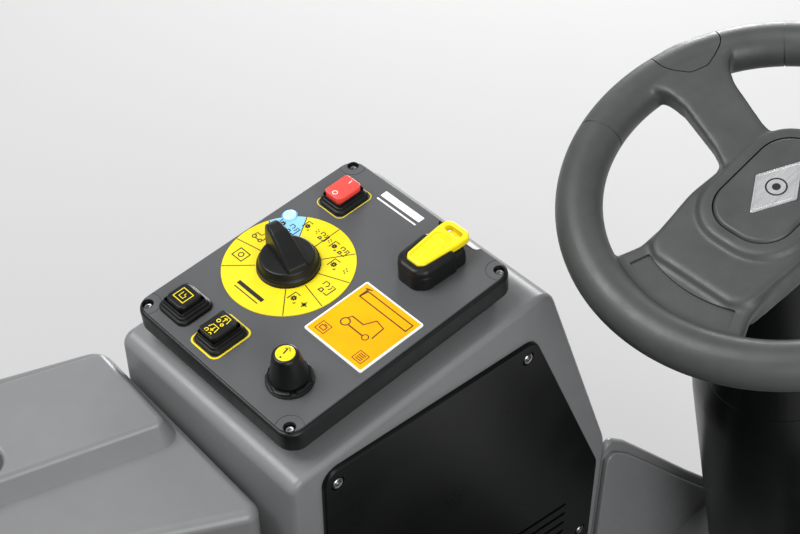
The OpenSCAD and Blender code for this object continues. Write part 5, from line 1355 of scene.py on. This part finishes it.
class SWEEPER_OT_helm(bpy.types.Operator):
    """Steering wheel, hub cover with a plain badge, and the steering tower"""
    bl_idname, bl_label = "sweeper.helm", "Steering"

    def execute(self, context):
        s = context.scene.sweeper_sizes
        rim = spun([(RING_RADIUS + GRIP_RADIUS * cos(tau * k / 32), 17.4 * sin(tau * k / 32)) for k in range(32)], 144,
                   closed=True)
        solids = [rim]
        for flip in (-1, 1):
            turn = Matrix.Rotation(flip * radians(69), 4, "Z")
            arm = prism(fillet([(18, -27), (60, -21), (104, -22), (122, -27), (134, -40), (153, -44), (162, 0),
                                (153, 44), (134, 40),
                                (122, 27), (104, 22), (60, 21), (18, 27)], [0, 20, 30, 20, 10, 4, 60, 4, 10, 20, 30, 20,
                                                                            0], 5), -8, 6, edge=3, foot=3, segments=3)
            for v in arm.verts:
                reach = min(1.0, max(0.0, (v.co.x - 40) / 95))
                v.co.z += reach * (8.5 if v.co.z > 0 else 2.0)
            solids.append(moved(arm, turn))
        skirt = prism(fillet([(-20, -46), (-96, -50), (-128, -64), (-143, -60), (-146, 0), (-143, 60), (-128, 64),
                              (-96, 50), (-20, 46)],
                             [0, 20, 12, 6, 80, 6, 12, 20, 0], 5), -12, 0, edge=2.5, foot=3, segments=3)
        solids.append(skirt)
        boss = prism(fillet([(47, -26), (34, -44), (-40, -51), (-92, -46), (-100, -34), (-100, 34), (-92, 46),
                             (-40, 51), (34, 44), (47, 26)],
                            [14, 20, 50, 14, 12, 12, 14, 50, 20, 14], 6), -26, 5, edge=5, foot=3, segments=4)
        solids.append(boss)
        collar = prism(rectangle(121, 87, 36, 10, -4, 0), -2, 9.4, edge=5, segments=5)
        solids.append(collar)
        solids.append(spun([(0, -34), (44, -34), (55, -8), (50, -4), (0, -4)], 64))
        whole = joined(*solids)
        skin = smooth_voxels(whole, 1.75, 5)
        cuts = [rim_cut(angle, 18 - s.grip_seam / MM, 24, 0.55) for angle in (-37, 37, -105, 105)]
        cuts.append(prism(rectangle(99.6, 65.6, 26.6, 10, -4, 0), 4.9, 20))
        strip = [Vector((-(122.5) * cos(radians(a)), 122.5 * sin(radians(a)))) for a in range(-22, 23, 2)]
        strip += [Vector((-(106.5) * cos(radians(a)), 106.5 * sin(radians(a)))) for a in range(22, -23, -2)]
        cuts.append(prism(fillet(strip, 1.2, 2), -1.9, 20))
        for flip in (-1, 1):
            shield = []
            for k in range(13):
                a = radians(56.5 + 20 * k / 12)
                shield.append((164 * cos(a), 164 * sin(a)))
            shield += [(144 * cos(radians(77)), 144 * sin(radians(77))),
                       (127.5 * cos(radians(70)), 127.5 * sin(radians(70))),
                       (127.5 * cos(radians(63.5)), 127.5 * sin(radians(63.5))),
                       (144 * cos(radians(56)), 144 * sin(radians(56)))]
            shape = fillet([(x, flip * y) for x, y in shield], [3] + [0] * 11 + [3, 14, 8, 8, 14], 5)
            groove = bmesh.new()
            stroke(groove, shape, 0.9, 12.6, 30, True)
            cuts.append(groove)
        cuts.append(spun([(14.05, -40), (14.05, -13)], 40))
        piece("steering_wheel_foam", carved(skin, cuts), "polyurethane_foam", "helm",
              ("steering_wheel",), HELM, sharp=40)
        cover = prism(rectangle(98, 64, 26, 12, -4, 0), 5.03, 12.0, edge=3.2, foot=0.6, segments=6)
        for v in cover.verts:
            if v.co.z > 9:
                v.co.z -= 1.5 * (abs(v.co.x + 4) / 49) ** 2 + 0.9 * (abs(v.co.y) / 32) ** 2 - 0.4
        piece("hub_cover_finished", cover, "polyurethane_foam", "helm", ("hub_cover",), HELM,
              sharp=40)
        badge = prism(fillet([(26, 0), (-4, 18.5), (-34, 0), (-4, -18.5)], 1.6, 4), 11.2, 12.55, edge=0.3, segments=2)
        badge = carved(badge, [stroke(bmesh.new(), fillet([(22.6, 0), (-4, 16.3), (-30.6, 0), (-4, -16.3)], 1.2, 4),
                                      0.8, 12.25, 14, True)])
        piece("hub_badge", badge, "brushed_stainless", "helm", place=HELM)
        mark = bmesh.new()
        stroke(mark, ring_of(7.5, 40, -4, 0), 1.3, 12.5, 12.62, True)
        spot(mark, -4, 0, 3.2, 12.5, 12.62, 32)
        piece("hub_badge_mark", mark, "black_ink", "helm", place=HELM)
        profile = [(0, -700), (78, -700), (78, -262), (77.4, -246), (75.6, -231), (72.6, -216), (57.6, -133),
                   (56.2, -122), (55.4, -110),
                   (52.4, -50), (51, -46), (48.6, -44.2), (44, -44), (18, -44), (18, -52), (0, -52)]
        tower = spun(profile, 72, place=HELM)
        bmesh.ops.bisect_plane(tower, geom=tower.verts[:] + tower.edges[:] + tower.faces[:], plane_co=(0, 0, 347.3),
                               plane_no=(0, 0, -1), clear_outer=True)
        bmesh.ops.holes_fill(tower, edges=[e for e in tower.edges if e.is_boundary], sides=0)
        seam = spun([(71.4, -210.7), (80, -210.7), (80, -209.3), (71.4, -209.3)], 72, place=HELM, closed=True)
        piece("steering_tower_shell", carved(tower, [seam]), "moulded_polypropylene", "frame",
              ("steering_tower",), sharp=30)
        boot = spun([(15.2, -52), (26, -52), (26, -47), (24, -44), (24.6, -41), (22, -39), (22.6, -36), (19, -34.5),
                     (15.2, -34.5)], 48, place=HELM, closed=True)
        piece("steering_shaft_gaiter", boot, "moulded_rubber", "frame")
        keep_node("steering_shaft", "turned_steel")
        keep_node("steering_gearbox", "powder_coated_steel")
        return {"FINISHED"}


# ---- the seat ----

def stitch_pull(away, width=4.2):
    """How deep a sewn line pulls at a distance from it, from 1 on the line to 0."""
    return 2.72 ** (-(away / width) ** 2)


def within(co, low, high):
    """Keeps a point in a box."""
    for axis in range(3):
        co[axis] = min(max(co[axis], low[axis]), high[axis])


def swollen(bm, voxel, pressure, cap, pin_below):
    """The pad blown up as cloth over foam, in millimetres: no point moves further than cap."""
    bmesh.ops.scale(bm, vec=(MM, MM, MM), verts=bm.verts)
    target = temporary(bm, "pad")
    remesh = target.modifiers.new("skin", "REMESH")
    remesh.mode, remesh.voxel_size = "VOXEL", voxel * MM
    mesh = evaluated(target)
    target.modifiers.clear()
    old = target.data
    target.data = mesh
    bpy.data.meshes.remove(old)
    start = [v.co.copy() for v in mesh.vertices]
    held = target.vertex_groups.new(name="held")
    for i, co in enumerate(start):
        held.add([i], 1.0 if pin_below(co) else 0.0, "REPLACE")
    cloth = target.modifiers.new("foam", "CLOTH")
    cloth.settings.use_pressure = True
    cloth.settings.uniform_pressure_force = pressure
    cloth.settings.effector_weights.gravity = 0
    cloth.settings.vertex_group_mass = "held"
    cloth.settings.quality = 4
    scene = bpy.context.scene
    scene.frame_start, scene.frame_end = 1, 20
    for step in range(1, 21):
        scene.frame_set(step)
    blown = evaluated(target)
    scene.frame_set(1)
    for v, co in zip(blown.vertices, start):
        push = v.co - co
        if push.length > cap * MM:
            v.co = co + push.normalized() * cap * MM
    target.modifiers.clear()
    target.data = blown
    relax = target.modifiers.new("relax", "SMOOTH")
    relax.factor, relax.iterations = 0.5, 4
    fine = target.modifiers.new("fine", "SUBSURF")
    fine.levels = fine.render_levels = 1
    mesh = evaluated(target)
    discard(target)
    out = taken(mesh)
    bmesh.ops.scale(out, vec=(1 / MM,) * 3, verts=out.verts)
    return out


class SWEEPER_OT_seat(bpy.types.Operator):
    """Seat cushion and backrest of foam under coated cloth, with their pan and shell"""
    bl_idname, bl_label = "sweeper.seat", "Seat"

    def execute(self, context):
        cap = context.scene.sweeper_sizes.cushion_swell / MM
        plan = fillet([(-430, -178), (-74, -133), (-74, 133), (-430, 178)], [34, 44, 44, 34], 8)
        pad = swollen(prism(plan, 600, 651, edge=16, foot=6, segments=4), 5.0, 4.0, cap, lambda co: co.z < 0.603)
        for v in pad.verts:
            if v.co.z > 620:
                x, y = (v.co.x + 250) / 180, v.co.y / 175
                dish = 8 * max(0.0, 1 - x * x) * max(0.0, 1 - y * y)
                v.co.z -= dish * 0.55
                for line in (-58, 58):
                    v.co.z -= 3.4 * stitch_pull(v.co.y - line) * (1 if -410 < v.co.x < -95 else 0)
                for line in (-330, -250, -170):
                    if abs(v.co.y) < 58:
                        v.co.z -= 3.0 * stitch_pull(v.co.x - line)
            within(v.co, (-441.5, -189.5, 598.2), (-62.5, 189.5, 667.6))
        cushion = piece("seat_cushion_pad", pad, "coated_vinyl", "seat", ("seat_cushion",), sharp=0)
        piping = swept([(p.x, p.y, 642) for p in inward(plan, -6.2)], 3.0, 8, closed=True)
        piece("seat_cushion_piping", piping, "coated_vinyl", "seat")
        back = fillet([(26, -170), (418, -154), (418, 154), (26, 170)], [30, 62, 62, 30], 8)
        solid = prism([Vector((p.x, p.y)) for p in back], 0, 42, edge=14, foot=5, segments=4)
        # drawn on (up, across, thick), then stood up: x forward from the shell, z up the back
        for v in solid.verts:
            up, across, thick = v.co
            v.co = Vector((thick - 16, across, up))
        bmesh.ops.recalc_face_normals(solid, faces=solid.faces)
        pad = swollen(solid, 5.0, 4.0, cap, lambda co: co.x < -0.0135)
        for v in pad.verts:
            if v.co.x > 8:
                middle = stitch_pull(v.co.y, 90)
                lumbar = stitch_pull(v.co.z - 120, 90)
                v.co.x += 4.5 * lumbar * middle - 4.0 * middle * (1 - lumbar)
                for line in (-62, 62):
                    v.co.x -= 3.4 * stitch_pull(v.co.y - line) * (1 if 45 < v.co.z < 400 else 0)
                for line in (110, 190, 270, 350):
                    if abs(v.co.y) < 62:
                        v.co.x -= 3.0 * stitch_pull(v.co.z - line)
            within(v.co, (-17.6, -181.5, 18.5), (39.5, 181.5, 429))
        cushion = piece("backrest_pad", pad, "coated_vinyl", "backrest", ("backrest_cushion",), BACKREST,
                        sharp=0)
        piping = swept([(17.5, p.y, p.x) for p in inward(back, -5.8)], 3.0, 8, closed=True)
        piece("backrest_piping", piping, "coated_vinyl", "backrest", place=BACKREST)
        softened("seat_pan", "powder_coated_steel", "seat", 1.6)
        softened("backrest_shell", "moulded_abs", "backrest", 3.0, 3)
        return {"FINISHED"}


# ---- wheels ----

class SWEEPER_OT_wheels(bpy.types.Operator):
    """Treaded tyres, hubs with their nuts, fork and axle"""
    bl_idname, bl_label = "sweeper.wheels", "Wheels"

    def execute(self, context):
        blocks = context.scene.sweeper_sizes.tread_blocks
        # sides are where the hub shows its nuts; face is how far out they stand
        for name, body, r, w, inner, hub, sides, face in (
                ("front_tyre", "front_wheel", 140, 80, 92.05, "front_hub", (-1, 1), 27.5),
                ("rear_tyre_left", "rear_wheel_left", 150, 60, 88.05, "rear_hub_left", (1,), 17.2),
                ("rear_tyre_right", "rear_wheel_right", 150, 60, 88.05, "rear_hub_right", (-1,), 17.2)):
            low, high = (Vector(c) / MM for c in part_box(name))
            centre = (low + high) / 2
            half = w / 2
            profile = [(inner, -half), (inner + 7, -half), (inner + 9, -half + 1.2), (r - 24, -half + 0.8),
                       (r - 20, -half), (r - 13, -half)]
            profile += [(r - 13 * (1 - sin(radians(a))), -half + 13 * (1 - cos(radians(a)))) for a in (22, 45, 66)]
            lanes = [-half + 14, -half * 0.36, half * 0.36, half - 14]
            profile += [(r, lanes[0]), (r, lanes[1] - 1.6), (r - 5, lanes[1] - 1.2), (r - 5, lanes[1] + 1.2),
                        (r, lanes[1] + 1.6),
                        (r, lanes[2] - 1.6), (r - 5, lanes[2] - 1.2), (r - 5, lanes[2] + 1.2), (r, lanes[2] + 1.6),
                        (r, lanes[3])]
            profile += [(r - 13 * (1 - sin(radians(a))), half - 13 * (1 - cos(radians(a)))) for a in (66, 45, 22)]
            profile += [(r - 13, half), (r - 20, half), (r - 24, half - 0.8), (inner + 9, half - 1.2),
                        (inner + 7, half), (inner, half)]
            place = offset_by(*centre) @ turned(-90, "X")
            count = blocks * 4
            tyre = spun(profile, count, closed=True)
            for v in tyre.verts:
                radius = hypot(v.co.x, v.co.y)
                step = round(atan2(v.co.y, v.co.x) / tau * count) % 4
                if (abs(v.co.z) > half * 0.42
                        and radius > r - 11
                        and step in (0, 1)
                        and radius < r + 0.1
                        and abs(v.co.z) < half - 0.5):
                    v.co.x, v.co.y = v.co.x * (1 - 4.2 / radius), v.co.y * (1 - 4.2 / radius)
            piece(name + "_tread", moved(tyre, place), "moulded_tyre_rubber", body, (name,), sharp=40)
            softened(hub, "painted_hub", body, 1.2, 2)
            spots = [((centre.x + p.x, centre.y + s * face, centre.z + p.y), (0, s, 0)) for s in sides
                     for p in ring_of(52, 5, start=0.3)]
            stood_on(name.replace("tyre", "wheel") + "_nuts", hexagon_bolt(7, 7), spots, "zinc_plated_steel", body,
                     turn=tau)
        softened("front_fork", "powder_coated_steel", "fork", 1.5)
        softened("rear_axle", "turned_steel", "frame", 0.8)
        return {"FINISHED"}


class SWEEPER_OT_chassis(bpy.types.Operator):
    """Ladder frame, floor, mat, pedals and batteries"""
    bl_idname, bl_label = "sweeper.chassis", "Chassis"

    def execute(self, context):
        for node, kind, body, slot, edge in (
                ("chassis_frame", "powder_coated_steel", "frame", "frame_paint", 1.8),
                ("floor_pan", "powder_coated_steel", "frame", "frame_paint", 1.2),
                ("floor_mat", "moulded_rubber", "frame", "rubber_black", 0.6),
                ("pedal_mount", "powder_coated_steel", "frame", "steel_part", 0.8),
                ("accelerator_pedal", "moulded_rubber", "accelerator", "rubber_black", 1.0),
                ("brake_pedal", "moulded_rubber", "brake", "rubber_black", 1.0),
                ("battery_pack", "battery_polypropylene", "frame", "battery_case", 2.0)):
            softened(node, kind, body, edge)
        return {"FINISHED"}


# ---- brushes ----

def tuft(length, foot, tip, lean=0.0, steps=3, sides=5):
    """One tuft of bristles, flaring from foot to tip, standing on z."""
    path = [(lean * (k / steps) ** 2, 0, length * k / steps) for k in range(steps + 1)]
    return swept(path, lambda t: foot + (tip - foot) * t, sides)


class SWEEPER_OT_brushes(bpy.types.Operator):
    """Brush deck, roller brushes, side broom, debris hopper and squeegee"""
    bl_idname, bl_label = "sweeper.brushes", "Brushes"

    def execute(self, context):
        s = context.scene.sweeper_sizes
        rows = s.tuft_rows
        for name, body, way in (("front_brush", "front_roller", 1), ("rear_brush", "rear_roller", -1)):
            low, high = (Vector(c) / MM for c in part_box(name))
            x, z = (low.x + high.x) / 2, (low.z + high.z) / 2
            core = joined(axle(x, z, low.y, high.y, 15, 32, 1.0), axle(x, z, -306, 306, 38, 48, 2.0))
            piece(name + "_core", core, "moulded_abs", body, (name,))
            spots = []
            for k in range(40):
                y = -298 + 596 * k / 39
                for j in range(rows):
                    a = tau * j / rows + way * 0.9 * abs(y) / 298
                    spots.append(((x + 37 * cos(a), y, z + 37 * sin(a)), (cos(a), 0, sin(a))))
            stood_on(name + "_tufts", tuft(37.4, 3.2, 6.4), spots, "nylon_bristle", body, turn=tau, seed=11)
        low, high = (Vector(c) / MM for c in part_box("side_broom"))
        centre = Vector(((low.x + high.x) / 2, (low.y + high.y) / 2))
        hub = spun([(0, 73), (54, 73), (60, 71.5), (70, 74), (72, 78), (70, 83), (58, 86.6), (30, 88.8), (10, 89),
                    (10, 109), (8, 111), (0, 111)], 64,
                   place=offset_by(centre.x, centre.y, 0))
        piece("side_broom_disc", hub, "moulded_abs", "broom", ("side_broom",))
        spots = []
        for ring_r, count, lean in ((66, s.broom_tufts, 0.98), (56, int(s.broom_tufts * 0.8), 0.86)):
            for k in range(count):
                a = tau * k / count + ring_r
                spots.append(((centre.x + ring_r * cos(a), centre.y + ring_r * sin(a), 76),
                              (lean * cos(a), lean * sin(a), -0.78)))
        stood_on("side_broom_tufts", tuft(94, 3.6, 9.5, 9, 4, 6), spots, "dark_bristle", "broom",
                 turn=0.0)
        softened("broom_arm", "powder_coated_steel", "broom_carrier", 1.2)
        softened("brush_deck", "powder_coated_steel", "deck", 1.5)
        softened("hopper", "structural_foam", "debris_hopper", 1.5)
        softened("squeegee", "moulded_rubber", "squeegee_unit", 1.0)
        return {"FINISHED"}


class SWEEPER_OT_bolts(bpy.types.Operator):
    """Hexagon bolts that hold covers, deck and chassis"""
    bl_idname, bl_label = "sweeper.bolts", "Bolts"

    def execute(self, context):
        side = [((x, flip * 400, z), (0, flip, 0)) for flip in (-1, 1) for x,
                z in ((-180, 262), (-180, 770), (-575, 770), (-255, 480))]
        stood_on("cover_bolts", hexagon_bolt(5.5, 4.6), side, "zinc_plated_steel", "frame", turn=tau)
        belt = [((x, 376, z), (0, 1, 0)) for x in (-60, 75, 220) for z in (60, 138)]
        stood_on("belt_cover_bolts", hexagon_bolt(5, 4), belt, "zinc_plated_steel", "deck", turn=tau)
        return {"FINISHED"}


# ---- floor, light and camera ----

class SWEEPER_OT_studio(bpy.types.Operator):
    """Plain pale floor, soft studio light and the camera"""
    bl_idname, bl_label = "sweeper.studio", "Studio"

    def execute(self, context):
        disc = bmesh.new()
        bmesh.ops.create_circle(disc, cap_ends=True, radius=9.0, segments=96)
        ground = temporary(disc, "studio_floor")
        pale = bpy.data.materials.new("studio_paper")
        pale.use_nodes = True
        shader = pale.node_tree.nodes["Principled BSDF"]
        shader.inputs["Base Color"].default_value = (*linear("#BDBDBD"), 1)
        shader.inputs["Roughness"].default_value = 0.9
        ground.data.materials.append(pale)
        world = bpy.data.worlds.new("studio")
        world.use_nodes = True
        sky = world.node_tree.nodes["Background"]
        sky.inputs["Color"].default_value = (*linear("#F2F2F2"), 1)
        sky.inputs["Strength"].default_value = 0.55
        context.scene.world = world
        context.scene.view_settings.view_transform = "Standard"
        for name, spot_at, target, size, power in (("key", (-1.1, 1.5, 3.7), (0.1, 0.1, 0.8), 2.4, 105),
                                                   ("rim", (3.0, 2.4, 1.5), (0.2, 0.1, 0.8), 1.6, 95),
                                                   ("fill", (-0.9, -3.0, 2.5), (0.1, 0.0, 0.7), 2.6, 85)):
            data = bpy.data.lights.new(name, "AREA")
            data.shape, data.size, data.energy = "DISK", size, power
            lamp = linked(name, data)
            lamp.location = spot_at
            lamp.rotation_euler = (Vector(target) - Vector(spot_at)).to_track_quat("-Z", "Y").to_euler()
        data = bpy.data.cameras.new("camera")
        data.lens, data.sensor_width = 72, 36
        camera = linked("camera", data)
        ahead, up = Vector((0.493, 0.534, -0.687)).normalized(), Vector((0.466, 0.505, 0.727))
        right = ahead.cross(up).normalized()
        up = right.cross(ahead)
        turn = Matrix((right, up, -ahead)).transposed().to_4x4()
        camera.matrix_world = offset_by(-0.403, -0.4627, 1.7058) @ turn
        context.scene.camera = camera
        return {"FINISHED"}


OPERATORS = (SWEEPER_OT_studio, SWEEPER_OT_console, SWEEPER_OT_side_tanks, SWEEPER_OT_nose, SWEEPER_OT_rear,
             SWEEPER_OT_panel,
             SWEEPER_OT_dial, SWEEPER_OT_switches, SWEEPER_OT_display, SWEEPER_OT_key, SWEEPER_OT_helm, SWEEPER_OT_seat,
             SWEEPER_OT_wheels, SWEEPER_OT_chassis, SWEEPER_OT_brushes, SWEEPER_OT_bolts)


class SWEEPER_PT_panel(bpy.types.Panel):
    """Sizes, colours and building steps of the sweeper"""
    bl_label, bl_idname = "Ride On Sweeper", "SWEEPER_PT_panel"
    bl_space_type, bl_region_type, bl_category = "VIEW_3D", "UI", "Sweeper"

    def draw(self, context):
        layout = self.layout
        for group in (context.scene.sweeper_sizes, context.scene.sweeper_colours):
            box = layout.box()
            for key in group.__annotations__:
                box.prop(group, key)
        for operator in OPERATORS:
            layout.operator(operator.bl_idname)


CLASSES = (SweeperColours, SweeperSizes, *OPERATORS, SWEEPER_PT_panel)


def register():
    for cls in CLASSES:
        bpy.utils.register_class(cls)
    bpy.types.Scene.sweeper_colours = PointerProperty(type=SweeperColours)
    bpy.types.Scene.sweeper_sizes = PointerProperty(type=SweeperSizes)


def unregister():
    del bpy.types.Scene.sweeper_sizes
    del bpy.types.Scene.sweeper_colours
    for cls in reversed(CLASSES):
        bpy.utils.unregister_class(cls)


def main():
    register()
    for operator in OPERATORS:
        group, name = operator.bl_idname.split(".")
        getattr(getattr(bpy.ops, group), name)()


if __name__ == "__main__":
    main()
